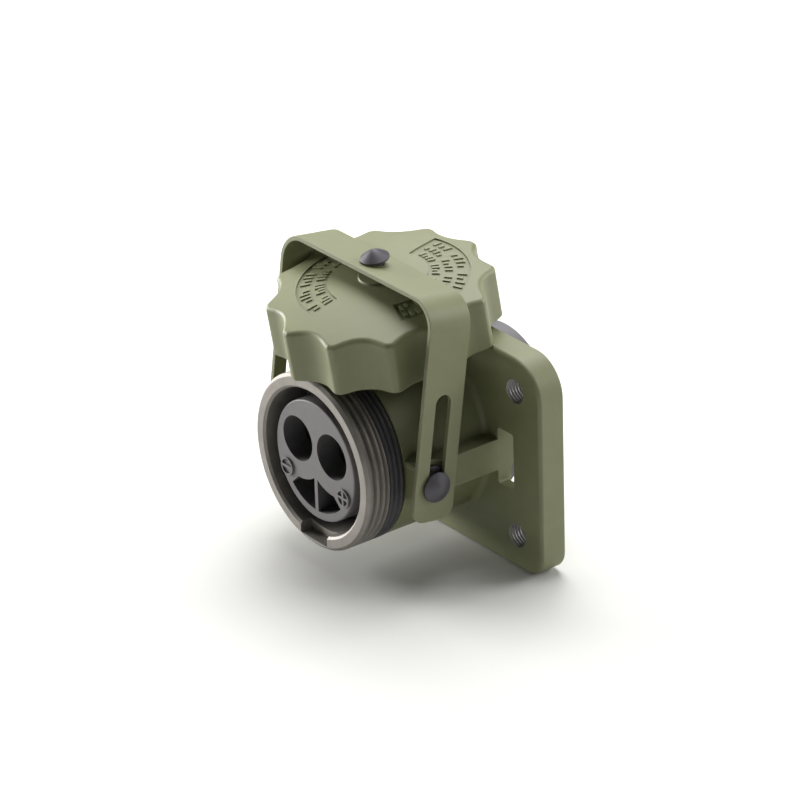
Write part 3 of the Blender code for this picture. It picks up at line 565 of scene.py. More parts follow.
def makeCollar():
    c = collar
    front, back = c["front"], c["front"] - c["threadEnd"]
    land, end = front - c["land"], back + c["runOut"]
    inner = softCorners([
        (c["shank"], c["tail"]), (c["bore"], c["tail"], 0.3), (c["bore"], front - c["boreEdge"], 0.2),
        (c["bore"] + c["boreEdge"], front, 0.2), (c["radius"] - c["edge"], front, 0.3),
        (c["radius"], front - c["edge"], 0.3), (c["radius"], land)], radius=0.2, count=3)
    outer = softCorners([
        (c["radius"], end), (c["radius"], back, 0.4), (c["shank"], back, 0.2),
        (c["shank"], c["tail"] + 0.4), (c["shank"], c["tail"] + touch)], radius=0.2, count=3)
    thread = threadRings(c["radius"], c["threadDepth"], land, end, c["pitch"], c["turns"], c["rowsPerPitch"])
    rings = plainRings(inner, c["turns"]) + thread[1:] + plainRings(outer, c["turns"])[1:]
    body = ringGrid("threadedCollar", rings, closed=True)
    reach = c["bore"] + c["keyCut"]
    key = softPlate("keyway", c["keyWidth"], reach, c["keyCorner"],
                    [(0, front - c["keyLength"]), (0, front + overrun)], count=3)
    carve(body, shift(key, 0, -reach / 2))
    finishPiece(body, socketFrame, "socket", collarMetal, ["front_collar"], sharp=28)


seal = {"front": 56.4, "back": 49.7, "radius": 34.0, "ribHeight": 0.9, "ribs": 3, "inner": 31.3,
        "ribShares": (0.02, 0.28, 0.66, 0.92), "steps": 192}


def makeSeal():
    # round ribs, whose four outer points lie at set shares of one rib's step
    s = seal
    step = (s["front"] - s["back"]) / s["ribs"]
    root = s["radius"] - s["ribHeight"]
    outline = [(s["inner"], s["back"], 0.2), (s["inner"], s["front"], 0.2)]
    for i in range(s["ribs"]):
        top = s["front"] - step * i
        a, b, c, d = [top - step * share for share in s["ribShares"]]
        outline += [(root, a, 0.3), (s["radius"], b, 0.5), (s["radius"], c, 0.5), (root, d, 0.3)]
    body = spun("ribbedSeal", outline, s["steps"], closed=True, count=4)
    finishPiece(body, socketFrame, "socket", sealRubber, ["seal_ring"])


insert = {"front": 64.9, "radius": 23.5, "edge": 0.9, "flangeDepth": 46.0, "flange": 28.25, "ledge": 34.3,
          "rear": 25.5, "back": 6.0, "split": 34.0, "contactX": 10.2, "contactZ": 5.4, "holeRadius": 8.8,
          "holeEnd": 19.7, "studHole": 4.3, "holeEdge": 0.35, "windowRadius": 20.2, "windowHalfAngle": 46.0,
          "windowWall": 6.9, "windowRib": 1.8, "windowDepth": 15.0, "steps": 144, "rearSteps": 96,
          "holeSteps": 64, "innerSteps": 12, "outerSteps": 16}
mark = {"x": 16.9, "z": -8.4, "size": 6.0, "line": 1.1, "height": 0.8, "ring": (3.55, 2.85), "sunk": 0.1,
        "corner": 0.2, "topEdge": 0.15, "footEdge": 0.05, "steps": 48}


def toContact(body, side):
    # moves what is made on local Z to the axis of one contact
    return shift(body, side * insert["contactX"], insert["contactZ"])


def windowOutline():
    # the right window: an arc round the contact hole, a radial side and the outer arc
    n = insert
    rib, reach = n["windowRib"] / 2, n["holeRadius"] + n["windowWall"]
    side = math.radians(n["windowHalfAngle"])
    sx, sz = math.sin(side), -math.cos(side)
    middle = -(sx * n["contactX"] + sz * n["contactZ"])
    along = -middle + math.sqrt(middle ** 2 - (n["contactX"] ** 2 + n["contactZ"] ** 2 - reach ** 2))
    start = math.atan2(-math.sqrt(reach ** 2 - (rib - n["contactX"]) ** 2), rib - n["contactX"])
    end = math.atan2(sz * along - n["contactZ"], sx * along - n["contactX"])
    outer = n["windowRadius"]
    low = math.asin(rib / outer)
    points = []
    for i in range(n["innerSteps"] + 1):
        t = start + (end - start) * i / n["innerSteps"]
        points.append((n["contactX"] + reach * math.cos(t), n["contactZ"] + reach * math.sin(t)))
    for i in range(n["outerSteps"] + 1):
        t = side + (low - side) * i / n["outerSteps"] - math.pi / 2
        points.append((outer * math.cos(t), outer * math.sin(t)))
    return points


def contactHole(side):
    n = insert
    front, back = n["front"] + overrun, n["back"] - overrun
    hole = spun("contactHole", [
        (0, front, 0), (n["holeRadius"], front, 0), (n["holeRadius"], n["holeEnd"], 0),
        (n["studHole"], n["holeEnd"], 0), (n["studHole"], back, 0), (0, back, 0)], n["holeSteps"])
    # painted shade: the cut walls of the hole take the darker nylon
    hole.data.materials.append(holeShadeNylon)
    return toContact(hole, side)


def makeMark(name, side):
    # a raised minus or plus sign in a ring
    m = mark
    outer, inner = m["ring"]
    low, high = insert["front"] - m["sunk"], insert["front"] + m["height"]
    body = flatRing(name, outer, inner, low, high, m["steps"], m["topEdge"], count=2)
    bars = [(m["size"], m["line"]), (m["line"], m["size"])]
    for width, height in bars[:2 if side > 0 else 1]:
        levels = edgeLevels(low, high, m["footEdge"], m["topEdge"], count=2)
        carve(body, softPlate("bar", width, height, m["corner"], levels, count=2), "UNION")
    shift(body, side * m["x"], m["z"])
    finishPiece(body, socketFrame, "socket", insertNylon, ())


def makeInsert():
    n = insert
    body = spun("insertMoulding", [
        (0, n["front"], 0), (n["radius"], n["front"], n["edge"]), (n["radius"], n["flangeDepth"], 0),
        (n["flange"], n["flangeDepth"], 0.3), (n["flange"], n["ledge"], 0), (0, n["ledge"], 0)],
        n["steps"], count=4)
    insulator = spun("rearInsulator", [(0, n["split"], 0), (n["rear"], n["split"], 0.4),
                                       (n["rear"], n["back"], 0.4), (0, n["back"], 0)], n["rearSteps"])
    body.data.materials.append(insertNylon)
    for side in (1, -1):
        carve(body, contactHole(side))
        carve(insulator, contactHole(side))
        outline = [(side * x, z) for x, z in windowOutline()]
        window = plug("window", outline, n["front"] - n["windowDepth"], n["front"] + overrun)
        # painted shade: the cut walls of the window take the darker nylon
        window.data.materials.append(holeShadeNylon)
        carve(body, window)
    softenEdges(body, n["holeEdge"], segments=2, angle=40)
    finishPiece(body, socketFrame, "socket", insertNylon, ["contact_insert"])
    finishPiece(insulator, socketFrame, "socket", insertNylon, ["rear_insulator"])
    makeMark("minusMark", -1)
    makeMark("plusMark", 1)


retainer = {"bore": 24.3, "outer": 28.25, "low": 46.3, "high": 49.3, "slot": 3.0, "slotDepth": 1.4,
            "steps": 120}


def makeRetainer():
    r = retainer
    body = flatRing("retainingRing", r["outer"], r["bore"], r["low"], r["high"], r["steps"], count=2)
    slot = softPlate("slot", 2 * (r["outer"] + 2 * overrun), r["slot"], squareCorner,
                     [(0, r["high"] - r["slotDepth"]), (0, r["high"] + overrun)], count=1)
    carve(body, slot)
    finishPiece(body, socketFrame, "socket", blackOxide, ["insert_retainer"])


makeCollar()
makeSeal()
makeInsert()
makeRetainer()
print("collar, seal and insert made")


# Contacts and terminals

contact = {"front": 56.0, "bore": 6.2, "floor": 26.0, "outer": 8.5, "shoulder": 20.0, "stud": 4.0,
           "studEnd": -21.5, "lip": 0.5, "studPitch": 1.25, "studThread": 0.65, "threadFrom": -6.0,
           "threadStop": 0.5, "tipRise": 0.1, "tipEdge": 0.3, "steps": 64, "rowsPerPitch": 8}
cage = {"gap": 0.3, "wall": 0.6, "from": 26.3, "to": 46.3, "band": 2.5, "slot": 1.2, "slots": 8, "waist": 0.5,
        "waistCurve": 6, "edge": 0.1, "steps": 64}


def makeContact(name, side):
    # a turned tube whose bore and outside are painted dark brown as shade deep in the holes, on a bright
    # threaded stud
    c = contact
    lip, root = c["lip"], c["stud"] - c["studThread"]
    head = softCorners([
        (0, c["floor"], 0), (c["bore"], c["floor"], 0.2), (c["bore"], c["front"] - lip, 0.2),
        (c["bore"] + lip, c["front"], 0.1), (c["outer"] - lip, c["front"], 0.1),
        (c["outer"], c["front"] - lip, 0.2), (c["outer"], c["shoulder"], 0.2),
        (c["stud"], c["shoulder"], 0.1), (c["stud"], c["threadFrom"])], radius=0.2, count=3)
    thread = threadRings(c["stud"], c["studThread"], c["threadFrom"], c["studEnd"] + c["threadStop"],
                         c["studPitch"], c["steps"], c["rowsPerPitch"])
    tip = [(root, c["studEnd"] + c["tipRise"]), (root - c["tipEdge"], c["studEnd"]), (0, c["studEnd"])]
    rings = plainRings(head, c["steps"]) + thread[1:] + plainRings(tip, c["steps"])
    body = toContact(ringGrid("contactTube_" + name, rings), side)
    body.data.materials.append(contactBrass)
    body.data.materials.append(holeShadeBrass)
    # painted shade: faces in front of the shoulder take the dark brass, so that the holes look deep
    for face in body.data.polygons:
        face.material_index = int(face.center.z > c["shoulder"] - overrun)
    finishPiece(body, socketFrame, "socket", contactBrass, ["contact_" + name], sharp=40)


def makeCage(name, side):
    # a slotted spring sleeve with a narrower waist, in the contact's bore
    g = cage
    outer = contact["bore"] - g["gap"]
    inner = outer - g["wall"]
    low, high = g["from"] + g["band"], g["to"] - g["band"]
    body = spun("springFingers_" + name, [
        (outer, g["to"], g["edge"]), (outer, g["from"], g["edge"]), (inner, g["from"], g["edge"]),
        (inner, low, 0), (inner - g["waist"], (g["from"] + g["to"]) / 2, g["waistCurve"]), (inner, high, 0),
        (inner, g["to"], g["edge"])], g["steps"], radius=g["edge"], count=6, closed=True)
    pairs = g["slots"] // 2
    for i in range(pairs):
        slot = softPlate("slot", 3 * contact["bore"], g["slot"], squareCorner, [(0, low), (0, high)], count=1)
        carve(body, shift(slot, turn=180 * (i + 0.25) / pairs))
    toContact(body, side)
    finishPiece(body, socketFrame, "socket", zincSteel, ["spring_cage_" + name])


terminal = {"top": -6.6, "washerRadius": 8.0, "washerThick": 1.6, "hole": 4.3, "steps": 64}
nut = {"flats": 13.0, "thick": 5.0, "crown": 0.7, "crownInset": 1.1, "crownProud": 0.15, "leadIn": 1.2,
       "leadInDepth": 0.6, "edge": 0.15, "crownSteps": 96, "holeSteps": 48}


def makeTerminalWasher(name, side):
    t = terminal
    washer = flatRing("terminalWasher_" + name, t["washerRadius"], t["hole"], t["top"],
                      t["top"] - t["washerThick"], t["steps"])
    toContact(washer, side)
    finishPiece(washer, socketFrame, "socket", zincSteel, ["terminal_washer_" + name])


def makeTerminalNut(name, side):
    # a hexagon whose corners are cut round by a crown, with a lead-in at both ends of its hole
    n = nut
    seat = terminal["top"] - terminal["washerThick"] - clearance
    low = seat - n["thick"]
    corner = n["flats"] / 2 / math.cos(math.pi / 6)
    turns = [math.pi / 3 * i for i in range(6)]
    hexagon = [(corner * math.cos(t), corner * math.sin(t)) for t in turns]
    body = plug("terminalNut_" + name, hexagon, low, seat)
    tip, wide = corner - n["crownInset"], corner + n["crownProud"]
    crown = spun("crown", [
        (0, low - touch, 0), (tip, low - touch, 0), (wide, low + n["crown"], 0),
        (wide, seat - n["crown"], 0), (tip, seat + touch, 0), (0, seat + touch, 0)], n["crownSteps"])
    carve(body, crown, "INTERSECT")
    hole = terminal["hole"]
    mouth = hole + n["leadIn"]
    bore = spun("bore", [
        (0, low - overrun, 0), (mouth, low - overrun, 0), (hole, low + n["leadInDepth"], 0),
        (hole, seat - n["leadInDepth"], 0), (mouth, seat + overrun, 0), (0, seat + overrun, 0)],
        n["holeSteps"])
    carve(body, bore)
    softenEdges(body, n["edge"], segments=2, angle=30)
    toContact(body, side)
    finishPiece(body, socketFrame, "socket", zincSteel, ["terminal_nut_" + name])


shroud = {"front": 5.7, "spigot": 25.5, "base": -0.3, "baseRadius": 34.5, "baseThick": 4.0, "radius": 27.5,
          "wall": 2.5, "end": -24.9, "floor": -6.3, "barrier": 2.0, "barrierHeight": 13.0, "notchWidth": 11.0,
          "notchDepth": 11.0, "notchReach": 30, "notchCorner": 1.0, "edge": 0.5, "screwCircle": 31.1,
          "screwHole": 2.1, "screwHoleSteps": 32, "studHole": 4.3, "studHoleSteps": 48, "steps": 144}
rearScrew = {"count": 4, "head": 3.0, "headHeight": 2.0, "crownEdge": 1.2, "radius": 1.8, "tip": 8.0,
             "slot": 0.8, "slotDepth": 1.0, "slotTurn": 37, "steps": 40}


def screwPlaces():
    turns = [math.tau * (i + 0.5) / rearScrew["count"] for i in range(rearScrew["count"])]
    return [(shroud["screwCircle"] * math.cos(t), shroud["screwCircle"] * math.sin(t)) for t in turns]


def makeShroud():
    s = shroud
    inner, under = s["radius"] - s["wall"], s["base"] - s["baseThick"]
    body = spun("rearShroud", [
        (0, s["front"], 0), (s["spigot"], s["front"], 0.4), (s["spigot"], s["base"], 0),
        (s["baseRadius"], s["base"], 0.4), (s["baseRadius"], under, 0.8), (s["radius"], under, 1.0),
        (s["radius"], s["end"], 0.8), (inner, s["end"], 0.6), (inner, s["floor"], 1.0), (0, s["floor"], 0)],
        s["steps"], count=4)
    wall = softPlate("barrier", s["barrier"], 2 * (inner + overrun), squareCorner,
                     [(0, s["floor"] - s["barrierHeight"]), (0, s["floor"] + overrun)], count=1)
    carve(body, wall, "UNION")
    for side in (1, -1):
        low, high = s["floor"] - overrun, s["front"] + overrun
        carve(body, toContact(rod("studHole", s["studHole"], low, high, s["studHoleSteps"]), side))
        notch = softPlate("notch", s["notchWidth"], s["notchReach"], s["notchCorner"],
                          [(0, s["end"] - overrun), (0, s["end"] + s["notchDepth"])], count=4)
        carve(body, shift(notch, side * insert["contactX"], -insert["contactX"] - s["notchReach"] / 2))
    for x, z in screwPlaces():
        low, high = under - overrun, s["base"] + overrun
        carve(body, shift(rod("screwHole", s["screwHole"], low, high, s["screwHoleSteps"]), x, z))
    softenEdges(body, s["edge"], segments=2, angle=50)
    finishPiece(body, socketFrame, "socket", rearNylon, ["rear_shroud"])


def makeRearScrew(number, x, z):
    r = rearScrew
    under = shroud["base"] - shroud["baseThick"] - clearance
    end = under - r["headHeight"]
    screw = spun(f"rearScrewHead_{number}", [
        (0, r["tip"], 0), (r["radius"], r["tip"], 0.4), (r["radius"], under, 0), (r["head"], under, 0.2),
        (r["head"], under - r["headHeight"] * 0.5, r["crownEdge"]), (0, end, 0)], r["steps"], count=4)
    levels = [(0, end - overrun), (0, end + r["slotDepth"])]
    slot = softPlate("slot", 4 * r["head"], r["slot"], squareCorner, levels, count=1)
    carve(screw, shift(slot, turn=r["slotTurn"] * number))
    shift(screw, x, z)
    finishPiece(screw, socketFrame, "socket", zincSteel, [f"rear_screw_{number}"])


for name, side in contactSides:
    makeContact(name, side)
    makeCage(name, side)
for name, side in contactSides:
    makeTerminalWasher(name, side)
    makeTerminalNut(name, side)
makeShroud()
for number, (x, z) in enumerate(screwPlaces(), 1):
    makeRearScrew(number, x, z)
print("contacts and rear made")


# Bail with its studs

bail = {"halfWidth": 44.5, "strap": 18.2, "thick": 1.8, "reach": 70.74, "bend": 11.0, "tail": 13.5,
        "tailCorner": 5.2, "slotRadius": 3.45, "slotTravel": 31.9, "edge": 0.4, "cutEdge": 0.25,
        "rivetHole": 3.3, "rivetHoleSpan": (-6, 3), "rivetHoleSteps": 40, "past": 3}
stud = {"under": 44.8, "head": 5.8, "height": 2.8, "blunt": 0.9, "radius": 3.15, "end": 33.5, "rim": 0.7,
        "crownInset": 0.15, "crownRise": 0.3, "steps": 64}
pivotWasher = {"outer": 7.0, "inner": 3.45, "low": 40.9, "high": 42.4, "steps": 64}
acrossArms = Matrix(((0, 0, 1, 0), (1, 0, 0, 0), (0, 1, 0, 0), (0, 0, 0, 1)))  # a plug's Z becomes the width


def dome(radius, height, level, blunt, count=12):
    # a button head's outline from its rim up to its top; a low blunt value makes it more of a cone
    points = []
    for i in range(count, -1, -1):
        rise = (math.hypot(1, blunt) - math.hypot(i / count, blunt)) / (math.hypot(1, blunt) - blunt)
        points.append((radius * i / count, level + height * rise, 0))
    return points


def makeStud(name, side):
    s = stud
    foot, crown = s["under"] + s["rim"], s["under"] + s["rim"] + s["crownRise"]
    head = dome(s["head"] - s["crownInset"], s["height"] - s["rim"] - s["crownRise"], crown, s["blunt"])
    body = spun("bailStud_" + name, [
        (0, s["end"], 0), (s["radius"], s["end"], 0.3), (s["radius"], s["under"], 0),
        (s["head"], s["under"], 0.25), (s["head"], foot, 0.2), *head], s["steps"])
    toSide(body, side, housing["bossDepth"])
    finishPiece(body, socketFrame, "socket", blackOxide, ["bail_stud_" + name], sharp=50)


def makePivotWasher(name, side):
    w = pivotWasher
    body = flatRing("pivotWasher_" + name, w["outer"], w["inner"], w["low"], w["high"], w["steps"])
    toSide(body, side, housing["bossDepth"])
    finishPiece(body, socketFrame, "pivot_washers", blackOxide, ["pivot_washer_" + name])


def strapLine(inset, count=14):
    # the strap's path from the right tail over the crossbar to the left tail
    side, top, bend = bail["halfWidth"] - inset, bail["reach"] - inset, bail["bend"] - inset
    points = [(side, -bail["tail"]), (side, -bail["tail"] / 2), (side, 0)]
    points += [(side, (top - bend) * i / 4) for i in range(1, 4)]
    for i in range(count + 1):
        t = math.pi / 2 * i / count
        points.append((side - bend + bend * math.cos(t), top - bend + bend * math.sin(t)))
    points += [(0, top)]
    return points + [(-x, z) for x, z in reversed(points[:-1])]


def slotOutline(count=16):
    # round at both ends, from just below the stud to the end of its travel
    b = bail
    low = b["slotRadius"] - stud["radius"] - clearance
    points = []
    for base, start in ((b["slotTravel"], 0), (low, 180)):
        for i in range(count + 1):
            t = math.radians(start + 180 * i / count)
            points.append((b["slotRadius"] * math.cos(t), base + b["slotRadius"] * math.sin(t)))
    return points


def tailOutline(side, count=10):
    # what is cut away outside one round corner of the tails
    half, tail, corner = bail["strap"] / 2, bail["tail"], bail["tailCorner"]
    past = bail["past"]
    points = [(half + past, -tail - past), (half + past, -tail + corner)]
    for i in range(count + 1):
        t = math.pi / 2 * i / count
        points.append((half - corner + corner * math.cos(t), -tail + corner - corner * math.sin(t)))
    points.append((half - corner, -tail - past))
    return [(side * y, z) for y, z in points]


def makeBail():
    b = bail
    half, thick = b["strap"] / 2, b["thick"]
    section = softCorners([(0, -half), (thick, -half), (thick, half), (0, half)], b["edge"], closed=True)
    paths = [(strapLine(inset), across) for inset, across in section]
    rings = []
    for k in range(len(paths[0][0])):
        rings.append([(path[k][0], across, path[k][1]) for path, across in paths])
    body = ringGrid("bailStrap", rings)
    width = b["halfWidth"] + 2 * overrun
    for outline in (slotOutline(), tailOutline(1), tailOutline(-1)):
        tool = plug("armCut", outline, -width, width)
        tool.data.transform(acrossArms)
        carve(body, tool)
    low, high = b["rivetHoleSpan"]
    carve(body, rod("rivetHole", b["rivetHole"], b["reach"] + low, b["reach"] + high, b["rivetHoleSteps"]))
    softenEdges(body, b["cutEdge"], segments=2, angle=40)
    finishPiece(body, bailFrame, "bail", olivePaint, ["bail"])


for name, side in armSides:
    makeStud(name, side)
    makePivotWasher(name, side)
makeBail()
print("bail made")


# Cap with its rivet and gasket

cap = {"radius": 42.0, "lobes": 12, "phase": -124.0, "scallop": 4.2, "ridge": 4.5, "side": 20.5,
       "domeFoot": 41.1, "brow": 2.0, "planEdge": 2.4, "rimEdge": 0.9, "domeRise": 4.6, "pad": 7.6,
       "padHeight": 0.8, "padGap": 2.6, "padEdge": 0.5, "padFoot": 0.2, "bore": 35.0, "leadIn": 1.1,
       "mouth": 1.5, "threadFrom": 0.5, "threadStop": 4.0, "boreDepth": 16.5, "pocket": 24.5,
       "pocketTaper": 2.6, "pocketDepth": 21.2, "hole": 2.8, "holeLand": 1, "threadDepth": 1.1,
       "threadLap": 0.1, "pitch": 2.8, "rowsPerPitch": 8, "steps": 480}
strapHalf = bail["thick"] / 2
padLevel = -(strapHalf + cap["padGap"])
rimLevel = padLevel - cap["padHeight"] - cap["domeRise"] - cap["side"]
gasketLevel = rimLevel + cap["boreDepth"]
pocketLevel = rimLevel + cap["pocketDepth"]


def planRadius(angle):
    # the cap's outline: round ridges with a hollow for the fingers between them
    c = cap
    pitch = math.tau / c["lobes"]
    halfRidge = c["ridge"] / 2 / c["radius"]
    halfGap = pitch / 2 - halfRidge
    halfChord = c["radius"] * math.sin(halfGap)
    sagitta = c["scallop"] - c["radius"] * (1 - math.cos(halfGap))
    hollow = (halfChord ** 2 + sagitta ** 2) / (2 * sagitta)
    centre = c["radius"] - c["scallop"] + hollow
    offset = (angle - math.radians(c["phase"])) % pitch - pitch / 2
    inside = hollow ** 2 - (centre * math.sin(offset)) ** 2
    reach = centre * math.cos(offset) - math.sqrt(inside) if inside > 0 else c["radius"] * 2
    blend = c["planEdge"]
    gap = max(0.0, blend - abs(reach - c["radius"])) / blend
    return min(reach, c["radius"]) - gap ** 2 * blend / 4


def domeSphere():
    c = cap
    return ((c["domeFoot"] ** 2 - c["pad"] ** 2) / c["domeRise"] + c["domeRise"]) / 2


def domeLevel(r):
    # the dome's height at a radius, from the pad's foot to the shoulder
    c = cap
    sphere = domeSphere()
    drop = math.sqrt(sphere ** 2 - c["pad"] ** 2) - math.sqrt(sphere ** 2 - r ** 2)
    return padLevel - c["padHeight"] - drop


def capPlan():
    # (x, y) of the wall and its outward normal, once round the cap
    steps = cap["steps"]
    walls = []
    for i in range(steps):
        t = math.tau * i / steps
        walls.append(Vector((math.cos(t), math.sin(t))) * planRadius(t))
    normals = []
    for i in range(steps):
        along = walls[(i + 1) % steps] - walls[i - 1]
        normals.append(Vector((along.y, -along.x)).normalized())
    return walls, normals


def capShell(domeRows=22, browRows=8, rimRows=4):
    # rings from the pad's foot over the dome, round the brow and down the wall to the rim
    c = cap
    walls, normals = capPlan()
    brow, rim = c["brow"], c["rimEdge"]
    rows = domeRows + browRows + rimRows + 2
    rings = [[] for _ in range(rows)]
    for i, (wall, normal) in enumerate(zip(walls, normals)):
        t = math.tau * i / c["steps"]
        slope = math.asin((wall.length - brow) / domeSphere()) * normal.dot(wall.normalized())
        inner = wall - normal * brow * (1 - math.sin(slope))
        crown = domeLevel(inner.length) - brow * math.cos(slope)
        foot = Vector((math.cos(t), math.sin(t))) * c["pad"]
        points = []
        for k in range(domeRows):
            spot = foot.lerp(inner, k / (domeRows - 1))
            points.append((*spot, domeLevel(spot.length)))
        for k in range(1, browRows + 1):
            turn = (math.pi / 2 - slope) * (1 - k / browRows)
            spot = wall - normal * brow * (1 - math.cos(turn))
            points.append((*spot, crown + brow * math.sin(turn)))
        points.append((*wall, (crown + rimLevel) / 2))
        for k in range(rimRows + 1):
            turn = math.pi / 2 * k / rimRows
            spot = wall - normal * rim * (1 - math.cos(turn))
            points.append((*spot, rimLevel + rim * (1 - math.sin(turn))))
        for ring, point in zip(rings, points):
            ring.append(point)
    return rings


capMarks = {"recess": 0.6, "lift": 0.5, "tickWidth": 1.1, "sunk": 0.1, "clear": 1.5, "margin": 6,
            "shortShare": 0.35,
            "panels": (  # angles from and to, radii from and to, and the rows of plain ticks in each panel
                (183, 269, 18.6, 30.6, ((20.0, 23.4), (25.4, 29.2)), 5.0),
                (24, 104, 18.0, 33.6, ((19.6, 22.4), (24.2, 27.0), (28.8, 32.2)), 5.5),
                (-24, 2, 21.0, 31.0, ((22.2, 25.2), (26.8, 29.8)), 5.0))}


def sectorBlock(name, inner, outer, start, end, low, high, turns=24, steps=10):
    # a block over part of a ring, whose underside and top follow the dome at two heights
    radii = [inner + (outer - inner) * i / steps for i in range(steps + 1)]
    section = [(r, domeLevel(r) + low) for r in radii] + [(r, domeLevel(r) + high) for r in reversed(radii)]
    rings = []
    for k in range(turns + 1):
        t = math.radians(start + (end - start) * k / turns)
        rings.append([(r * math.cos(t), r * math.sin(t), z) for r, z in section])
    return ringGrid(name, rings)


def joined(name, bodies):
    bm = bmesh.new()
    for body in bodies:
        bm.from_mesh(body.data)
        bpy.data.objects.remove(body)
    return makeObject(name, bm)


def makeCapMarks():
    # plain raised ticks in the sunk panels, where the real cap has lettering
    m = capMarks
    for number, (start, end, _, _, rows, step) in enumerate(m["panels"], 1):
        ticks = []
        for row, (inner, outer) in enumerate(rows):
            middle = (inner + outer) / 2
            half = math.degrees(m["tickWidth"] / 2 / middle)
            count = int((end - start - m["margin"]) / step)
            first = (start + end) / 2 - step * (count - 1) / 2
            for i in range(count):
                if (i * 7 + row * 3) % 5 == 4:  # leaves a gap here and there, in no plain order
                    continue
                angle = first + step * i
                short = (outer - inner) * (m["shortShare"] if (i + row) % 3 == 1 else 0)
                ticks.append(sectorBlock("tick", inner, outer - short, angle - half, angle + half,
                                         -m["recess"] - m["sunk"], m["lift"] - m["recess"], turns=2, steps=3))
        body = joined(f"capTicks_{number}", ticks)
        finishPiece(body, capFrame, "cap", olivePaint, (), sharp=30)


def makeCap():
    c = cap
    steps = c["steps"]
    bore, leadIn = c["bore"], c["leadIn"]
    threadFrom, threadTo = rimLevel + leadIn + c["threadFrom"], gasketLevel - c["threadStop"]
    pad = softCorners([
        (c["hole"], padLevel - c["holeLand"]), (c["hole"], padLevel, 0.3),
        (c["pad"] - c["padEdge"], padLevel, 0.25), (c["pad"] - c["padFoot"], padLevel - c["padHeight"])],
        radius=0.3, count=4)
    mouth = softCorners([
        (bore + leadIn + c["mouth"], rimLevel), (bore + leadIn, rimLevel, 0.3),
        (bore, rimLevel + leadIn, 0.3), (bore, threadFrom)], radius=0.3, count=3)
    thread = threadRings(bore, c["threadDepth"], threadFrom, threadTo, c["pitch"], steps, c["rowsPerPitch"],
                         inward=-1)
    inside = softCorners([
        (bore, threadTo + c["threadLap"]), (bore, gasketLevel, 0.2), (c["pocket"], gasketLevel, 0.5),
        (c["pocket"] - c["pocketTaper"], pocketLevel, 1.5), (c["hole"], pocketLevel, 0.2),
        (c["hole"], pocketLevel + c["holeLand"])], radius=0.3, count=4)
    rings = plainRings(pad, steps) + capShell() + plainRings(mouth, steps) + thread[1:]
    rings += plainRings(inside, steps)
    body = ringGrid("capMoulding", rings, closed=True)
    for start, end, inner, outer, _, _ in capMarks["panels"]:
        carve(body, sectorBlock("panel", inner, outer, start, end, -capMarks["recess"], capMarks["clear"]))
    finishPiece(body, capFrame, "cap", olivePaint, ["cap"], sharp=40)


gasket = {"outer": 34.7, "inner": 25.5, "thick": 2.2, "edge": 0.5, "steps": 144}


def makeGasket():
    g = gasket
    top = gasketLevel - clearance
    low = top - g["thick"]
    body = flatRing("capGasket", g["outer"], g["inner"], top, low, g["steps"], g["edge"], count=4)
    finishPiece(body, capFrame, "cap", sealRubber, ["cap_gasket"])


rivet = {"radius": 2.5, "head": 5.4, "height": 3.7, "blunt": 0.4, "gap": 1.9, "rim": 0.6, "crownInset": 0.1,
         "crownRise": 0.2, "tail": 4.4, "tailHeight": 1.5, "tailInset": 0.7, "steps": 72}
rivetWasher = {"outer": 6.5, "thick": 1.0, "hole": 2.8, "edge": 0.2, "steps": 64}


def makeRivet():
    # the head stands over the strap, and the washer and the flattened tail hold the cap from inside
    r, w = rivet, rivetWasher
    under = strapHalf + r["gap"]
    washerTop = pocketLevel - clearance
    washerLow = washerTop - w["thick"]
    tailTop = washerLow - clearance
    tailEnd = tailTop - r["tailHeight"]
    crown = under + r["rim"] + r["crownRise"]
    head = dome(r["head"] - r["crownInset"], r["height"] - r["rim"] - r["crownRise"], crown, r["blunt"])
    body = spun("capRivet", [
        (0, tailEnd, 0), (r["tail"] - r["tailInset"], tailEnd, 0.3), (r["tail"], tailTop, 0.2),
        (r["radius"], tailTop, 0), (r["radius"], under, 0), (r["head"], under, 0.25),
        (r["head"], under + r["rim"], 0.2), *head], r["steps"])
    finishPiece(body, capFrame, "rivet", blackOxide, ["cap_rivet"], sharp=50)
    washer = flatRing("rivetWasher", w["outer"], w["hole"], washerTop, washerLow, w["steps"], w["edge"])
    finishPiece(washer, capFrame, "rivet", zincSteel, ["rivet_washer"])


makeCap()
makeCapMarks()
makeGasket()
makeRivet()
print("cap made")


# Floor, light and camera

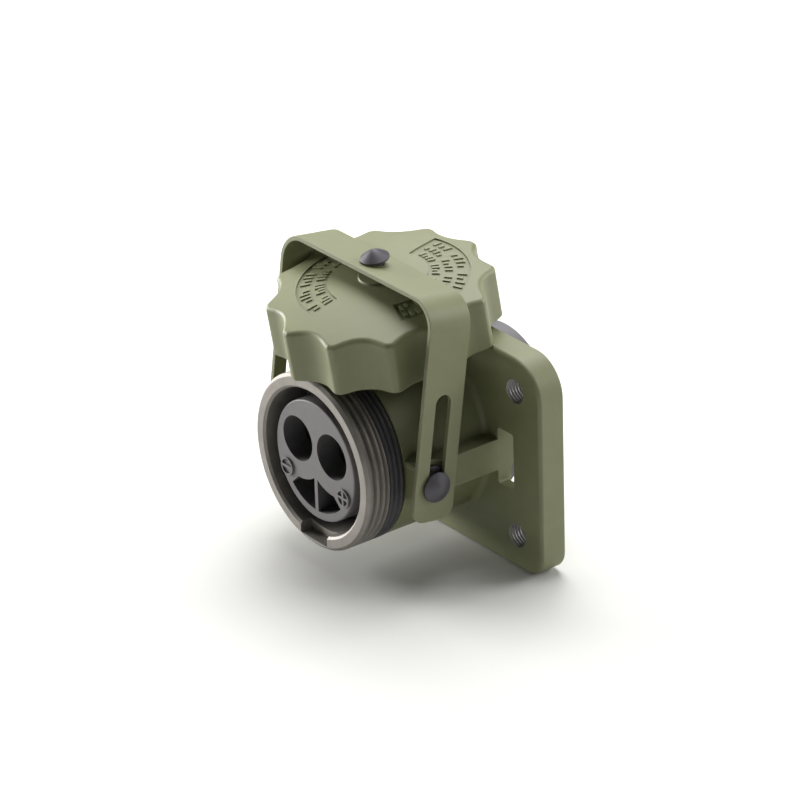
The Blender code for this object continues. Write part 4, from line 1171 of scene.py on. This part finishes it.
# from here on sizes and places are in metres
studio = {"floorSize": 8.0, "floorGap": 0.0005, "floorColour": "#E2E2DF", "floorRoughness": 0.9,
          "sky": "#FFFFFF", "skyStrength": 0.07}
lights = [  # name, place, aim, size, watts
    ("topSoftbox", (-0.25, 0.35, 1.40), (0.0, -0.02, 0.0), 1.0, 19.5),
    ("backSoftbox", (-0.75, 0.45, 0.85), (0.0, -0.02, 0.0), 0.9, 8.5),
    ("leftSoftbox", (-1.10, -0.50, 0.18), (0.0, -0.03, 0.02), 0.6, 25.0),
    ("rightSoftbox", (0.50, 1.05, 0.42), (0.0, -0.02, 0.02), 0.7, 12.0),
]
view = {"eye": (1.19649, -0.93124, 0.75719), "back": (0.71407, -0.54063, 0.44480), "roll": -1.78,
        "fieldOfView": 10.01, "sensor": 36.0}


def makeStage():
    bm = bmesh.new()
    bmesh.ops.create_grid(bm, x_segments=2, y_segments=2, size=studio["floorSize"] / 2)
    floor = makeObject("floor", bm)
    floor.location.z = cadLow.z - studio["floorGap"]
    made, _, shader, _ = startMaterial("paleFloor")
    shader.inputs["Base Color"].default_value = linear(studio["floorColour"])
    shader.inputs["Roughness"].default_value = studio["floorRoughness"]
    floor.data.materials.append(made)
    world = bpy.data.worlds.new("sky")
    world.use_nodes = True
    sky = world.node_tree.nodes["Background"]
    sky.inputs["Color"].default_value = linear(studio["sky"])
    sky.inputs["Strength"].default_value = studio["skyStrength"]
    bpy.context.scene.world = world
    bpy.context.scene.view_settings.view_transform = "Standard"


def makeLights():
    for name, place, aim, size, watts in lights:
        lamp = bpy.data.lights.new(name, "AREA")
        lamp.shape = "SQUARE"
        lamp.size = size
        lamp.energy = watts
        holder = bpy.data.objects.new(name, lamp)
        holder.location = place
        holder.rotation_euler = (Vector(aim) - Vector(place)).to_track_quat("-Z", "Y").to_euler()
        bpy.context.scene.collection.objects.link(holder)


def makeCamera():
    data = bpy.data.cameras.new("camera")
    data.sensor_width = view["sensor"]
    data.lens = view["sensor"] / 2 / math.tan(math.radians(view["fieldOfView"] / 2))
    camera = bpy.data.objects.new("camera", data)
    back = Vector(view["back"]).normalized()
    right = Vector((0, 0, 1)).cross(back).normalized()
    roll = Matrix.Rotation(math.radians(view["roll"]), 3, "Z")
    turn = Matrix((right, back.cross(right), back)).transposed() @ roll
    camera.matrix_world = Matrix.Translation(view["eye"]) @ turn.to_4x4()
    bpy.context.scene.collection.objects.link(camera)
    bpy.context.scene.camera = camera


makeStage()
makeLights()
makeCamera()
bpy.context.view_layer.update()
print("scene made")
